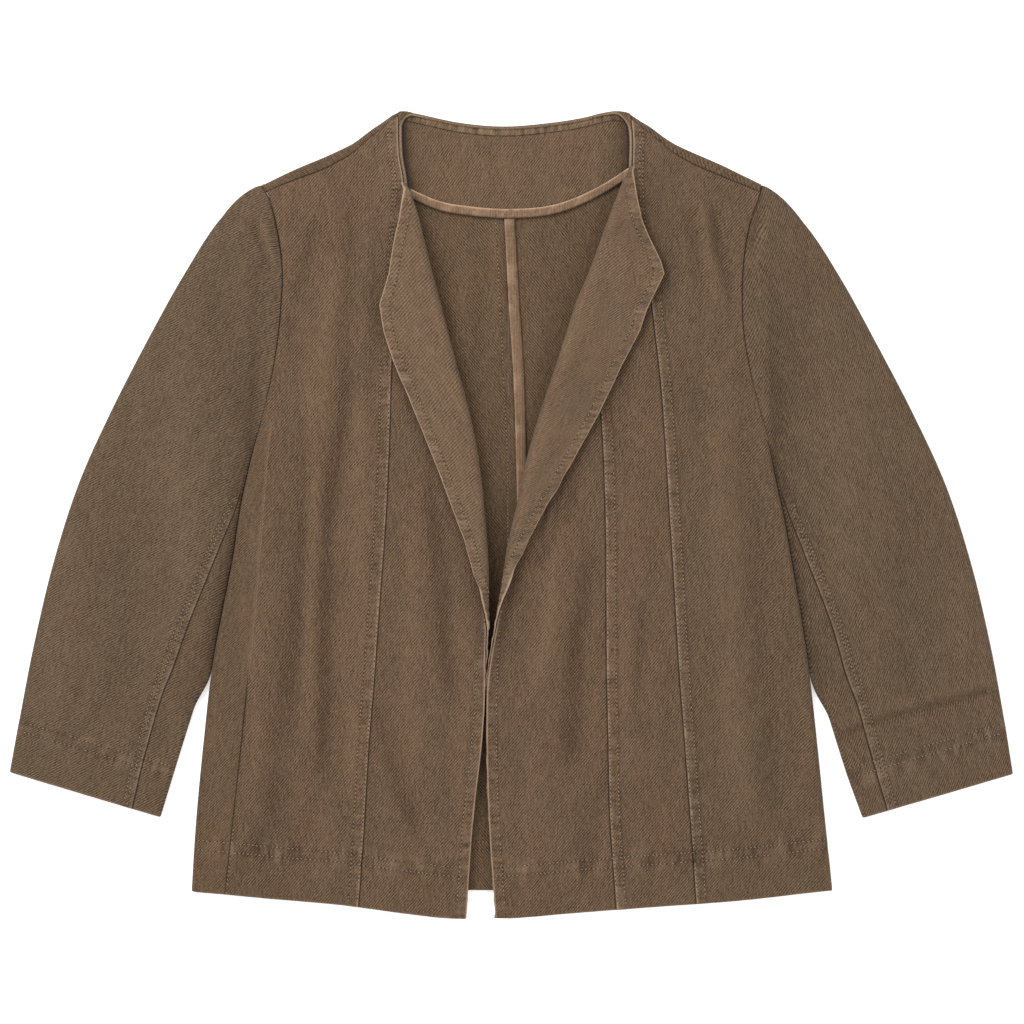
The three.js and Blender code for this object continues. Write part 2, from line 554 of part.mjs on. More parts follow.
// Half of the back. It lies flat, turns over the shoulder to the shoulder seam, and on
// the left turns over the side to the side seam. The neck stays a free edge.
const BACK_SHARES = [0, 0.15, 0.3, 0.45, 0.52, 0.66, 0.8, 0.92, 1];
const NECK_COLUMNS = 3; // these strips from the centre end in the free neck edge
const FOLD_STEPS = [-45, 0, 45, 90];
function backSheet(side, name, foldsOver) {
  const s = -side.toCentre;
  const list = side === LEFT ? FRONT_LEVELS.left : FRONT_LEVELS.right;
  const levels = bodyLevels(list);
  const foot = levels.findIndex((level) => level.y === side.armholeEnd);
  levels.splice(foot, 0, { y: side.armholeEnd + 2.5 });
  const last = foot + 1; // first row below the armhole
  const centre = () => CENTRE_BACK_X + s * TRIM;
  const hem = () => BACK_HEM_Y;
  const radiusAt = (x, y) => (frontHeight(side, x, y) - REST) / 2;
  const neckX = line(side, 'roll', 303);
  const isNeck = (x) => Math.abs(x) < Math.abs(neckX) - 1;
  const mainTop = (x) => (isNeck(x)
    ? topOf(x)
    : topOf(x) - CLOTH / 2 - radiusAt(x, topOf(x)));
  const main = levels.map((level, i) => {
    const edge = (y) => {
      const x = line(side, 'side', y);
      if (i < last) return x - s * TRIM;
      if (foldsOver) return x - s * (TRIM + CLOTH / 2 + (LIE - REST) / 2);
      return x - s * (FOLD_UNDER + TRIM + CLOTH / 2 + LAYER_GAP);
    };
    return BACK_SHARES.map((share) => {
      const { x, y } = rowPoint(level, share, centre, edge, mainTop, hem);
      return [x, y, REST];
    });
  });
  // over the shoulder
  const over = [];
  [...FOLD_STEPS].reverse().forEach((degrees) => {
    over.push(main[0].map(([x0, y0], j) => {
      const radius = radiusAt(x0, y0);
      const t = (degrees * Math.PI) / 180;
      const y = y0 + radius * Math.cos(t);
      const x = j === BACK_SHARES.length - 1 ? line(side, 'side', y) - s * TRIM : x0;
      return [x, y, REST + radius + radius * Math.sin(t)];
    }));
  });
  const seamRow = main[0].map(([x0], j) => {
    const outermost = j === BACK_SHARES.length - 1;
    const x = outermost ? line(side, 'side', shoulderSeam(x0) - 1) - s * TRIM : x0;
    const y = shoulderSeam(x);
    return [x, y, frontHeight(side, x, y)];
  });
  let grid = [seamRow, ...over, ...main];
  const shoulderRows = grid.length - main.length;
  const mainColumns = BACK_SHARES.length;
  if (foldsOver) {
    grid = grid.map((row, i) => {
      const [x0, y0] = row[row.length - 1];
      const radius = (LIE - REST) / 2;
      const first = i === shoulderRows + last;
      const y = first ? y0 - TRIM : y0;
      const round = FOLD_STEPS.map((degrees) => {
        const t = (degrees * Math.PI) / 180;
        return [x0 + s * radius * Math.cos(t), y, REST + radius + radius * Math.sin(t)];
      });
      const seamX = line(side, 'seam', y0) + s * TRIM;
      const mids = [0.5, 1].map((t) => {
        const x = lerp(x0, seamX, t);
        return [x, y, frontHeight(side, x, y0)];
      });
      return [...row, ...round, ...mids];
    });
  }
  const present = (i, j) => {
    if (j >= mainColumns - 1) return i >= shoulderRows + last;
    if (i < shoulderRows) return j >= NECK_COLUMNS + 0 && !isNeck(main[0][j][0]);
    return true;
  };
  return sheet(name, CLOTH_COLOURS.back, grid, { present });
}

// Facing round the inside of the neck, and the tape that binds its lower edge.
function neckFacing() {
  const columns = 15;
  const rows = 4;
  const grid = [];
  for (let i = 0; i <= rows; i += 1) {
    const row = [];
    for (let j = 0; j <= columns; j += 1) {
      const x = lerp(NECK_REACH.left, NECK_REACH.right, j / columns);
      const free = x > -84 && x < 86;
      const top = topOf(x) - (free ? 0.2 : 6.5);
      row.push([x, lerp(top, read(NECK_LOWER, 'x', 'y', x), i / rows), REST + PLY]);
    }
    grid.push(row);
  }
  return sheet('neck_facing', CLOTH_COLOURS.neck, grid);
}

function neckTape() {
  const columns = 14;
  const grid = [1, 0].map((row) => {
    const points = [];
    for (let j = 0; j <= columns; j += 1) {
      const x = lerp(TAPE_REACH.left, TAPE_REACH.right, j / columns);
      const y = read(NECK_LOWER, 'x', 'y', x) - 0.5 + row * TAPE_WIDTH;
      points.push([x, y, REST + PLY + CLOTH / 2 + LAYER_GAP + TAPE / 2]);
    }
    return points;
  });
  return sheet('neck_tape', CLOTH_COLOURS.tape, grid, { wall: TAPE });
}

function centreBackTape() {
  const height = CLOTH + LAYER_GAP + TAPE / 2;
  const grid = BACK_TAPE.map((row) => [
    [row.left, row.y, height],
    [row.right, row.y, height],
  ]);
  return sheet('centre_back_tape', CLOTH_COLOURS.tape, grid, { wall: TAPE });
}

// A flattened sleeve. A place round it is named by how far it lies in from the inner
// edge: a share of the width, plus millimetres from either edge.
function sleeveSheets(stations, side, name) {
  const s = -side.toCentre;
  const shares = [0.14, 0.28, 0.42, 0.56, 0.7, 0.82, 0.92];
  const lastStation = stations.length - 1;
  const point = (k, offset, upperSide) => {
    const st = stations[k];
    const width = Math.hypot(st.outerX - st.innerX, st.outerY - st.innerY);
    const inner = offset(width, st.seam);
    const inset = k === 0 ? 0 : CLOTH / 2;
    const w = (inset + inner * (1 - (2 * inset) / width)) / width;
    let y = lerp(st.innerY, st.outerY, w);
    let x = lerp(st.innerX, st.outerX, w);
    if (k === 0) x = line(side, 'side', y);
    const nearBody = k < 7 ? SLEEVE_CLEAR : 0;
    x += s * (k === 0 ? SLEEVE_CLEAR : nearBody * (1 - w));
    const end = Math.min(k, lastStation - k * 0.5) / lastStation;
    const full = SLEEVE_PUFF * Math.sin(Math.PI * w) * smooth(end * 3);
    const top = LIE + full;
    const half = (top - REST) / 2;
    const fromFold = Math.min(inner, width - inner) / half;
    const bulge = fromFold < 1 ? Math.sqrt(Math.max(0, 1 - (1 - fromFold) ** 2)) : 1;
    return [x, y, REST + half + half * bulge * (upperSide ? 1 : -1)];
  };
  const fold = (LIE - REST) / 2;
  const near = 0.29 * fold;
  const outerFold = [
    [(w) => w - fold, true],
    [(w) => w - near, true],
    [(w) => w, true],
    [(w) => w - near, false],
    [(w) => w - fold, false],
  ];
  const upperColumns = [
    [(w, seam) => seam + SLEEVE_TRIM, true],
    ...shares.map((share) => [
      (w, seam) => Math.max(share * w, seam + 0.35 * share * w),
      true,
    ]),
    ...outerFold,
    ...[...shares].reverse().filter((share) => share > UNDER_SEAM)
      .map((share) => [(w) => share * w, false]),
    [(w) => UNDER_SEAM * w + SLEEVE_TRIM, false],
  ];
  const underColumns = [
    [(w) => UNDER_SEAM * w - SLEEVE_TRIM, false],
    [(w) => 0.22 * w, false],
    [(w) => 0.1 * w, false],
    [() => fold, false],
    [() => near, false],
    [() => 0, true],
    [() => near, true],
    [() => fold, true],
    [(w, seam) => (seam - SLEEVE_TRIM + fold) / 2, true],
    [(w, seam) => seam - SLEEVE_TRIM, true],
  ];
  const build = (columns) => stations.map((_, k) => columns
    .map(([offset, upperSide]) => point(k, offset, upperSide)));
  return [
    sheet(`${name}_upper`, CLOTH_COLOURS.sleeve, build(upperColumns)),
    sheet(`${name}_under`, CLOTH_COLOURS.side, build(underColumns)),
  ];
}

const blazer = new THREE.Group();
blazer.name = 'blazer';
blazer.add(
  backSheet(LEFT, 'back_left', true),
  backSheet(RIGHT, 'back_right', false),
  neckFacing(),
  neckTape(),
  centreBackTape(),
  leftSideSheet(),
  sheet('front_left_centre', CLOTH_COLOURS.front, leftCentre),
  sheet('facing_left', CLOTH_COLOURS.lapel, movedOff(leftCentre, FACING_FROM)),
  rightSideSheet(),
  rightMidSheet(),
  sheet('front_right_centre', CLOTH_COLOURS.front, rightCentre),
  sheet('facing_right', CLOTH_COLOURS.lapel, movedOff(rightCentre, FACING_FROM)),
  ...sleeveSheets(LEFT_SLEEVE, LEFT, 'sleeve_left'),
  ...sleeveSheets(RIGHT_SLEEVE, RIGHT, 'sleeve_right'),
);

export default blazer;
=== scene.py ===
import math

import bpy
import numpy as np
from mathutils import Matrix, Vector
from mathutils.bvhtree import BVHTree


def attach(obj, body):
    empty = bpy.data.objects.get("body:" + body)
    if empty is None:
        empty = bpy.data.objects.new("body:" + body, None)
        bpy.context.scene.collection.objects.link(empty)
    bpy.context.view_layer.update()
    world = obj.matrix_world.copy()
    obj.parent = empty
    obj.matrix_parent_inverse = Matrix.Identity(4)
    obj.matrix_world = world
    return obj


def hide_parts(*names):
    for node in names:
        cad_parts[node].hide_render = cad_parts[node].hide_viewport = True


# A cropped, open-front blazer laid out face up. Tables and heights are in millimetres,
# x to the viewer's right, y from the hem up to the collar, z up off the surface.
# "left" and "right" are the viewer's left and right.

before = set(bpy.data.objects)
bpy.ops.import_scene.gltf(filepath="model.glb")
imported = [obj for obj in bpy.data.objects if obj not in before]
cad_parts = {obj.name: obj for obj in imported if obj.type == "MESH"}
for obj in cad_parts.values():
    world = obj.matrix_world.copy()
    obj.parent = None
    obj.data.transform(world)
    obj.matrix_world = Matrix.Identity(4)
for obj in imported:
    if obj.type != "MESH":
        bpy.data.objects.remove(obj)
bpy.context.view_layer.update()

MM = 0.001
CLOTH = 1.1          # wall of a cloth panel
TAPE = 0.9           # wall of a bias tape
PLY = 1.5            # from the middle of one layer to the middle of the next
TURN_PLY = 1.75      # the same round the front's turn and over the lapel
REST = 0.6           # middle of the cloth that lies on the surface
LIE = 5.6            # middle of the front where it lies quietly over the back
SEAM = 0.05          # each piece stops this far short of a shared seam
ROLL_SPREAD = 30.0   # how far the front takes to sink away from the roll line
CENTRE_BACK_X = -2.6
CHEST_Y = 180.0
SKIRT_Y = -150.0
BACK_HEM_Y = -282.0
BAND = 8.2           # width of a topstitched band
HEM_DEPTH = 39.0
HEM_TWIN = 32.0      # second row of hem stitching
GROOVE = 0.55        # half width of the painted shade in a seam's groove
LINE = 0.6           # half width of a rubbed line or a row of stitching
RIM = 1.2            # how far a rubbed line lies from its seam
ROW_SPREAD = 4.5     # how far puckers reach from a row of hem stitching
DRAWN = 0.12         # puckers change this much more slowly across a band than along it
FAR = 99             # a distance at which a seam no longer shows
STITCH = 3.1         # from one stitch to the next
BACK_DEPTH = 36.0    # depth of the back's hem
BACK_TWIN = 30.0     # second row of its stitching
ROWS = dict(shoulder=46, body=152, skirt=62)   # rows of points of a panel, in three parts
ARMHOLE_STRIP = 8    # extra columns along an armhole lie this close to it
LEFT_BAND_TOP = 150  # above this the seam's stitched band goes over into the collar's edge
RIGHT_BAND_TOP = 190 # the same on the right
MIDDLE_TOP = 206     # where the right front's middle part ends under the lapel
LEFT_LAPEL_TOP = 247
RIGHT_LAPEL_TOP = 259
LAPEL_FOOT = -66     # from here down the lapel runs out into the front edge
EDGE_STITCH = 7.6    # stitched row beside a finished edge
LAST_STATION = 9     # a sleeve's stations are numbered 0 at the armhole to 9 at the cuff
STATION_MM = 18      # about how far apart they are at the underarm


def table(columns, *rows):
    """Rows of a table with named columns. None marks a place that a row leaves out."""
    return [dict(zip(columns.split(), row)) for row in rows]


# Outline of one side at heights y: armhole and side fold, side seam, front seams,
# and the roll line, which is the front edge below the lapel.
LEFT_ROWS = table(
    "y side seam mid roll",
    (303, -187, None, -85, -85),
    (268, -187, None, -84, -84),
    (247, -187, None, -80.8, -79),
    (240, -182.5, None, -80.8, -76.1),
    (228, -178.9, None, -81.9, -71.2),
    (206, -174.1, None, -83.6, -65.2),
    (180, -171.6, None, -85.4, -58.7),
    (157, -172.6, None, -86.9, -52.3),
    (136, -174.6, None, -88.2, -47.0),
    (110, -178.6, None, -89.5, -40.2),
    (89, -183.2, None, -90.3, -34.6),
    (68, -188.5, -180.5, -90.8, -29.3),
    (40, -195.7, -183.4, -91.8, -24.4),
    (5, -203.2, -186.1, -93.4, -20.3),
    (-35, -209.3, -189.3, -96.1, -17.2),
    (-55, -213.2, -190.9, -97.7, -16.8),
    (-75, -217.2, -192.7, -99.1, -16.9),
    (-110, -223.7, -196.2, -101.5, -17.9),
    (-170, -230.9, -202.2, -106.4, -21.9),
    (-225, -236.2, -208.4, -109.6, -28.2),
    (-303, -241.1, -217.1, -115.0, -33.8),
)
RIGHT_ROWS = table(
    "y side mid outer roll",
    (303, 188, 89, 89, 89),
    (280, 188, 91, 91, 91),
    (257, 188, 90.5, 90.5, 87.6),
    (247, 187.5, 90.6, 90.6, 82.4),
    (238, 185.4, 91, 91, 79),
    (222, 179.8, 92, 92, 72.7),
    (206, 176.1, 93.6, 95.2, 67.3),
    (180, 173.2, 82, 101.6, 57.7),
    (154, 172.9, 72, 105.1, 46.8),
    (136, 174.2, 68, 107.3, 41.2),
    (110, 178.6, 66, 110.5, 32.7),
    (84, 185.0, 66.1, 112.8, 23.9),
    (57, 192.3, 68.1, 114.8, 15.7),
    (30, 197.4, 69.3, 116.5, 8.8),
    (0, 204.0, 70.1, 118.3, 2.2),
    (-30, 209.4, 70.6, 120.3, -4.1),
    (-55, 213.6, 70.7, 121.8, -7.6),
    (-75, 216.9, 70.8, 122.9, -11.2),
    (-110, 222.3, 71, 125.0, -17.4),
    (-170, 229.2, 72.2, 129.5, -18.7),
    (-225, 234.8, 73.5, 133.6, -17.2),
    (-303, 242.6, 79.0, 139.1, -12.0),
)
# Outer edge of each lapel, corner to corner.
LEFT_EDGE = table(
    "y x",
    (254, -80.3), (238, -81.0), (221, -83.6), (205, -87.4), (180, -91.9), (157, -99.4),
    (137, -96.4), (115, -89.3), (91, -79.1), (61, -66.4), (35, -55.9), (7, -45.4), (-20, -34.9),
    (-42, -28.9), (-55, -25.2), (-74, -20.3),
)
RIGHT_EDGE = table(
    "y x",
    (258, 90.4), (238, 93.4), (221, 97.1), (206, 103.9), (190, 112.1), (180, 115.1), (174, 112.1),
    (154, 102.4), (138, 97.1), (111, 82.9), (77, 66.8), (44, 48.4), (11, 29.6), (1, 23.3),
    (-20, 12.4), (-40, 3.4), (-55, -2.4), (-74, -9.4),
)
# How the front edge turns at height y: angle of the turn, length round it, length of
# the flap beyond an unfinished turn, lift of the roll line, lapel edge off the front.
LEFT_TURN = table(
    "y angle round flap lift spring",
    (303, 180, 6, 3, 2, 3),
    (285, 180, 3, 3, 4.5, 2),
    (250, 180, 3, 3, 7.5, 2),
    (232, 180, 6, 3, 8, 6.5),
    (206, 180, 10, 3, 7.5, 6.5),
    (157, 180, 12, 3, 6.5, 4),
    (68, 180, 11, 3, 5.2, 3.2),
    (-45, 180, 9, 3, 4.6, 4),
    (-60, 150, 9, 3.5, 4.6, 4),
    (-75, 112, 8, 4, 4.8, 4),
    (-92, 82, 8, 4, 4.8, 4),
    (-112, 48, 8, 3.5, 4.6, 4),
    (-135, 16, 8, 3, 4.2, 4),
    (-165, 2, 8, 3, 3.4, 4),
    (-303, 2, 8, 3, 1.6, 4),
)
RIGHT_TURN = table(
    "y angle round flap lift spring",
    (303, 180, 6, 3, 2, 3),
    (285, 180, 3, 3, 4.5, 2),
    (258, 180, 3, 3, 7.5, 2),
    (240, 180, 6, 3, 8, 6.5),
    (206, 180, 11, 3, 7.5, 6),
    (157, 180, 13, 3, 6.5, 4.2),
    (57, 180, 11, 3, 5.2, 3.2),
    (-30, 180, 9, 3, 4.6, 4),
    (-48, 150, 8.5, 4.5, 4.6, 4),
    (-65, 110, 8, 4.5, 4.8, 4),
    (-88, 78, 8, 4, 4.8, 4),
    (-112, 42, 8, 3.5, 4.6, 4),
    (-135, 14, 8, 3, 4.2, 4),
    (-165, 2, 8, 3, 3.4, 4),
    (-303, 2, 8, 3, 1.6, 4),
)
# Top outline of collar and shoulders, and how far down the shoulder seam runs.
TOP_LINE = table(
    "x y seam",
    (-187, 247, 6), (-160, 259.9, 8.2), (-138.4, 268.9, 9), (-128.6, 273.4, 8.4),
    (-118.1, 278.6, 7.2), (-106.9, 286.9, 5.8), (-93.4, 296.2, 4.4), (-87.4, 300.4, 3.6),
    (-80, 302.6, 3.2), (-72, 301.2, 3), (-65, 299.6, 3), (-35, 293.6, 3), (-5, 291.4, 3),
    (25, 293.6, 3), (55, 298.2, 3), (70, 301.9, 3), (78, 302.9, 3), (85, 302, 3.4),
    (90, 299.4, 3.8), (94.1, 296.4, 4.2), (103.1, 291, 5.2), (114.4, 282.6, 6.4),
    (121.9, 278, 7.4), (131.6, 273.4, 8.4), (142.1, 268.9, 9), (152.6, 264.4, 8.8),
    (188.6, 247, 6),
)
FRONT_HEM = table(
    "x y",
    (-243, -282), (-185, -287.6), (-125, -293), (-80, -299), (-50, -302.3), (0, -302.3),
    (55, -298), (115, -293.6), (175, -289), (243, -281),
)
# Lower edge of the neck facing, which the tan tape binds.
NECK_LOWER = table(
    "x y",
    (-110, 258), (-74.6, 237.4), (-55, 229), (-30, 224.6), (0, 222.8), (35.6, 226.9), (67, 240.4),
    (82, 249.4), (110, 264),
)
NECK_CORNER = 12.5   # round of the collar's inner corners
NECK_STITCH = 7.2    # stitched row below the collar's top edge
TAPE_REACH = (-82.0, 89.0)
TAPE_WIDTH = 7.0
BACK_TAPE = table(
    "y left right",
    (222, -5.3, 2.2),
    (156, -1.9, 6.0),
    (110, 1.1, 9.0),
    (40, 3.6, 11.2),
    (-276, 0, 7.6),
)
# Folds: a line through three points, its height (below zero for a trough),
# its half width, and how fast it dies away at its two ends.
LEFT_FOLDS = table(
    "a b c height width fade",
    ((-144, 221), (-164, 151), (-165, 118), -1.3, 5.5, 34),
    ((-126, 241), (-121, 186), (-128, 46), -1.3, 6, 60),
    ((-128, 60), (-138, -20), (-141, -196), -2.0, 6, 55),
    ((-158, 66), (-156, -34), (-172, -160), -1.7, 7, 60),
    ((-149, 76), (-150, 0), (-153, -170), 1.7, 7, 60),
    ((-131, 180), (-142, 120), (-150, 60), 0.9, 8, 50),
    ((-114, 90), (-114, -60), (-121, -215), 1.2, 8, 50),
    ((-182, 0), (-189, -120), (-196, -230), 0.9, 9, 60),
    ((-100, 215), (-104, 150), (-104, 90), -0.7, 5, 40),
    ((-63, 30), (-56, -30), (-44, -138), -1.7, 5.5, 40),
    ((-56, 6), (-50, -30), (-46, -70), -0.9, 4, 25),
    ((-72, 0), (-74, -90), (-72, -190), 1.1, 8, 50),
    ((-101, -140), (-89, -190), (-70, -240), -1.2, 5, 30),
    ((-40, -60), (-36, -130), (-38, -215), 0.8, 7, 50),
    ((-172, -150), (-178, -200), (-186, -262), -0.8, 6, 30),
    ((-137, -205), (-140, -240), (-143, -290), 0.8, 7, 30),
)
RIGHT_FOLDS = table(
    "a b c height width fade",
    ((150, 232), (158, 190), (165, 158), -2.0, 5, 24),
    ((131, 232), (136, 205), (142, 170), -0.9, 5, 26),
    ((140, 236), (148, 196), (154, 158), 1.2, 5, 26),
    ((139, 104), (141, 70), (143, 40), -1.0, 5.5, 30),
    ((60, -30), (48, -104), (44, -186), -2.0, 6.5, 40),
    ((34, -6), (27, -86), (14, -140), 1.5, 8, 40),
    ((47, 30), (36, -14), (14, -40), -1.3, 4, 18),
    ((39, 34), (34, 8), (30, -24), -1.9, 2.2, 12),
    ((28, 22), (25, 4), (24, -26), -2.0, 1.7, 8),
    ((34, 24), (30, 4), (27, -20), 1.0, 1.8, 9),
    ((99, -60), (95, -115), (93, -170), -0.9, 5, 40),
    ((86, 20), (84, -80), (88, -200), 0.8, 8, 50),
    ((152, 96), (162, -60), (172, -240), 1.0, 12, 70),
    ((176, 40), (186, -80), (196, -230), -0.8, 9, 60),
    ((20, -160), (16, -210), (18, -262), 0.9, 9, 36),
    ((70, -190), (60, -230), (52, -280), -0.7, 7, 30),
)
BACK_FOLDS = table(
    "a b c height width fade",
    ((-14, 224), (-12, 190), (-10, 120), 1.6, 4, 30),
    ((-24, 222), (-26, 190), (-24, 130), -0.4, 5, 30),
    ((-34, 222), (-36, 180), (-34, 120), 1.0, 6, 30),
    ((18, 222), (16, 190), (18, 110), 0.8, 6, 30),
)
# Sleeve stations from armhole to cuff: outer and inner edge, seam in from the inner edge.
LEFT_SLEEVE = table(
    "outer inner seam",
    ((-187, 246.4), (-188.5, 68), 2.2),
    ((-217, 223), (-193, 50.5), 2.2),
    ((-245.5, 179.6), (-197.6, 29.6), 2.4),
    ((-272.6, 130.9), (-202.9, 4.9), 3.5),
    ((-301, 75.4), (-209.6, -27.4), 11),
    ((-325, 21.4), (-217.1, -68.6), 19),
    ((-344, -38.6), (-224, -102), 24),
    ((-358, -97.9), (-236, -137.6), 25),
    ((-368.5, -150.4), (-251, -186.4), 24),
    ((-376.3, -193.0), (-263.3, -226.8), 21.5),
)
RIGHT_SLEEVE = table(
    "outer inner seam",
    ((188.6, 246.4), (192.3, 57), 2.2),
    ((218.6, 219.4), (195, 44.6), 2.2),
    ((246.4, 177.4), (198.7, 24.4), 2.4),
    ((272, 130.9), (203.7, 3.4), 3.5),
    ((301, 75.4), (209.7, -31.1), 10.5),
    ((326, 20.6), (216, -67.1), 17.5),
    ((345, -38.6), (222, -102), 23),
    ((359, -97.9), (236, -144.4), 22.5),
    ((369, -150.4), (250.5, -191.6), 21),
    ((376.1, -194.4), (263.4, -227.4), 18.5),
)
LEFT_SLEEVE_FOLDS = table(
    "a b c height width fade",
    ((-187, 226), (-183, 206), (-176, 186), 1.5, 2.4, 10),
    ((-181, 222), (-177, 208), (-175, 194), -1.4, 2.0, 8),
    ((-193, 220), (-189, 204), (-182, 180), -1.3, 2.4, 10),
    ((-230, 190), (-215, 120), (-206, 60), -0.8, 12, 50),
    ((-262, 110), (-248, 40), (-250, -60), 1.0, 16, 60),
    ((-300, 20), (-290, -60), (-300, -150), -0.9, 14, 60),
    ((-232, 10), (-246, -60), (-268, -130), 0.7, 8, 50),
    ((-335, -20), (-338, -90), (-345, -160), 0.8, 10, 50),
)
RIGHT_SLEEVE_FOLDS = table(
    "a b c height width fade",
    ((186, 228), (184, 216), (180, 200), -1.5, 2.6, 8),
    ((193, 224), (190, 208), (185, 190), 1.1, 2.8, 9),
    ((228, 190), (212, 120), (204, 66), -0.8, 12, 50),
    ((262, 110), (250, 40), (252, -60), 1.0, 16, 60),
    ((302, 20), (292, -60), (300, -140), -0.8, 14, 60),
    ((245, -165), (300, -148), (366, -131), -1.8, 3.2, 20),
    ((250, -158), (300, -141), (366, -124), 0.8, 4, 20),
    ((338, -20), (342, -80), (350, -125), 0.8, 10, 50),
)


def column(rows, key, name):
    pairs = sorted((row[key], row[name]) for row in rows if row[name] is not None)
    return np.array(pairs, float).T


def curve(rows, key, name):
    """A smooth line through a column of a table."""
    x, y = column(rows, key, name)
    h = np.diff(x)
    d = np.diff(y) / h
    inner = (d[:-1] * h[1:] + d[1:] * h[:-1]) / (h[:-1] + h[1:])
    m = np.concatenate([[d[0]], inner, [d[-1]]])

    def value(q):
        q = np.clip(np.asarray(q, float), x[0], x[-1])
        i = np.clip(np.searchsorted(x, q) - 1, 0, len(h) - 1)
        t = (q - x[i]) / h[i]
        a = (2 * t**3 - 3 * t**2 + 1) * y[i] + (t**3 - 2 * t**2 + t) * h[i] * m[i]
        b = (3 * t**2 - 2 * t**3) * y[i + 1] + (t**3 - t**2) * h[i] * m[i + 1]
        return a + b
    return value


def straight(rows, key, name):
    """A line with corners through a column of a table."""
    x, y = column(rows, key, name)
    return lambda q: np.interp(q, x, y)


def smooth(t):
    t = np.clip(t, 0, 1)
    return t * t * (3 - 2 * t)


def mix(a, b, t):
    return a + (b - a) * t


def hump(d, width, at=0):
    """One where d is `at`, dying away over that width on either side."""
    return np.exp(-((d - at) / width)**2)


def run_of(grid):
    """Distance of each point along its row, from the row's first point."""
    run = np.cumsum(np.linalg.norm(np.diff(grid, axis=1), axis=2), axis=1)
    return np.concatenate([np.zeros((len(grid), 1)), run], 1)


def from_last(grid):
    """Distance of each point along its row, from the row's last point."""
    return run_of(grid[:, ::-1])[:, ::-1]


def noise(x, y, size, seed):
    """Soft random heights between -1 and 1, with bumps about `size` millimetres across."""
    lattice = np.random.default_rng(seed).uniform(-1, 1, (128, 128))
    x, y = np.broadcast_arrays(np.asarray(x, float) / size, np.asarray(y, float) / size)
    i, j = np.floor(x).astype(int), np.floor(y).astype(int)
    u, v = x - i, y - j
    u, v = u * u * u * (u * (6 * u - 15) + 10), v * v * v * (v * (6 * v - 15) + 10)

    def at(p, q):
        return lattice[(i + p) % 128, (j + q) % 128]
    low = mix(at(0, 0), at(1, 0), u)
    high = mix(at(0, 1), at(1, 1), u)
    return mix(low, high, v)


def folds(table, x, y):
    """Sum of the soft folds of a table at points x, y."""
    total = np.zeros(np.broadcast(x, y).shape)
    for n, fold in enumerate(table):
        a, b, c = (np.array(fold[k], float) for k in "abc")
        t = np.linspace(0, 1, 15)[:, None]
        middle = 2 * b - (a + c) / 2
        path = (1 - t)**2 * a + 2 * t * (1 - t) * middle + t**2 * c
        step = np.diff(path, axis=0)
        length = np.hypot(*step.T)
        before = np.concatenate([[0], np.cumsum(length)[:-1]])
        best = np.full(total.shape, 1e9)
        along = np.zeros(total.shape)
        for k in range(len(step)):
            u = step[k] / length[k]
            px, py = x - path[k, 0], y - path[k, 1]
            low = -1e3 if k == 0 else 0
            high = 1e3 if k == len(step) - 1 else length[k]
            s = np.clip(px * u[0] + py * u[1], low, high)
            d = np.hypot(px - s * u[0], py - s * u[1])
            near = d < best
            best = np.where(near, d, best)
            along = np.where(near, before[k] + s, along)
        whole = length.sum()
        fade = smooth((along + fold["fade"] * 0.4) / fold["fade"])
        fade = fade * smooth((whole - along + fold["fade"] * 0.4) / fold["fade"])
        wander = 1 + 0.25 * noise(along, n * 7.0, 31, 5)
        total = total + fold["height"] * fade * wander * hump(best, fold["width"])
    return total


class Side:
    """One side of the garment: its lines, its turn and its folds."""

    def __init__(self, rows, edge, turn, table, to_centre, foot, shade):
        self.to_centre = to_centre   # 1 or -1: the way to the centre along x
        self.foot = foot             # height where the armhole ends and the side begins
        self.shade = shade           # depth and reach of the shade under the lapel
        self.table = table
        for name in ("side", "seam", "mid", "outer", "roll"):
            if name in rows[0]:
                setattr(self, name, curve(rows, "y", name))
        self.edge = straight(edge, "y", "x")
        for name in ("angle", "round", "flap", "lift", "spring"):
            setattr(self, name, curve(turn, "y", name))


LEFT = Side(LEFT_ROWS, LEFT_EDGE, LEFT_TURN, LEFT_FOLDS, 1, 68, (1.4, 6))
RIGHT = Side(RIGHT_ROWS, RIGHT_EDGE, RIGHT_TURN, RIGHT_FOLDS, -1, 57, (2.8, 8))
top_line = curve(TOP_LINE, "x", "y")
top_drop = curve(TOP_LINE, "x", "seam")
hem_line = curve(FRONT_HEM, "x", "y")
neck_lower = curve(NECK_LOWER, "x", "y")


def shoulder_seam(x):
    return top_line(x) - top_drop(x)


def front_height(side, x, y, follow=1.0):
    """Middle of the front layer, with its folds and small unevenness. What lies over the
    front follows only a share of its folds."""
    from_roll = (side.roll(y) - x) * side.to_centre
    rise = side.lift(y) * hump(from_roll, ROLL_SPREAD)
    from_side = np.abs(x - side.side(y))
    calm = smooth(from_side / 14) * smooth((from_roll + 4) / 14)
    below = smooth((side.foot + 10 - y) / 30)
    brim = 2.0 * below * hump(from_side, 16)
    small = 0.5 * noise(x, y * 0.4, 12, 11) + 0.2 * noise(x, y * 0.6, 6, 12)
    return LIE + rise + brim + (follow * folds(side.table, x, y) + small) * calm


def row_height(p, x, shoulder, hem):
    """y of a row: p is 0 at the hem, 1 at the skirt, 2 at the chest, 3 at the shoulder."""
    upper = mix(CHEST_Y, shoulder(x), p - 2)
    middle = mix(SKIRT_Y, CHEST_Y, p - 1)
    lower = mix(hem(x), SKIRT_Y, p)
    return np.where(p >= 2, upper, np.where(p >= 1, middle, lower))


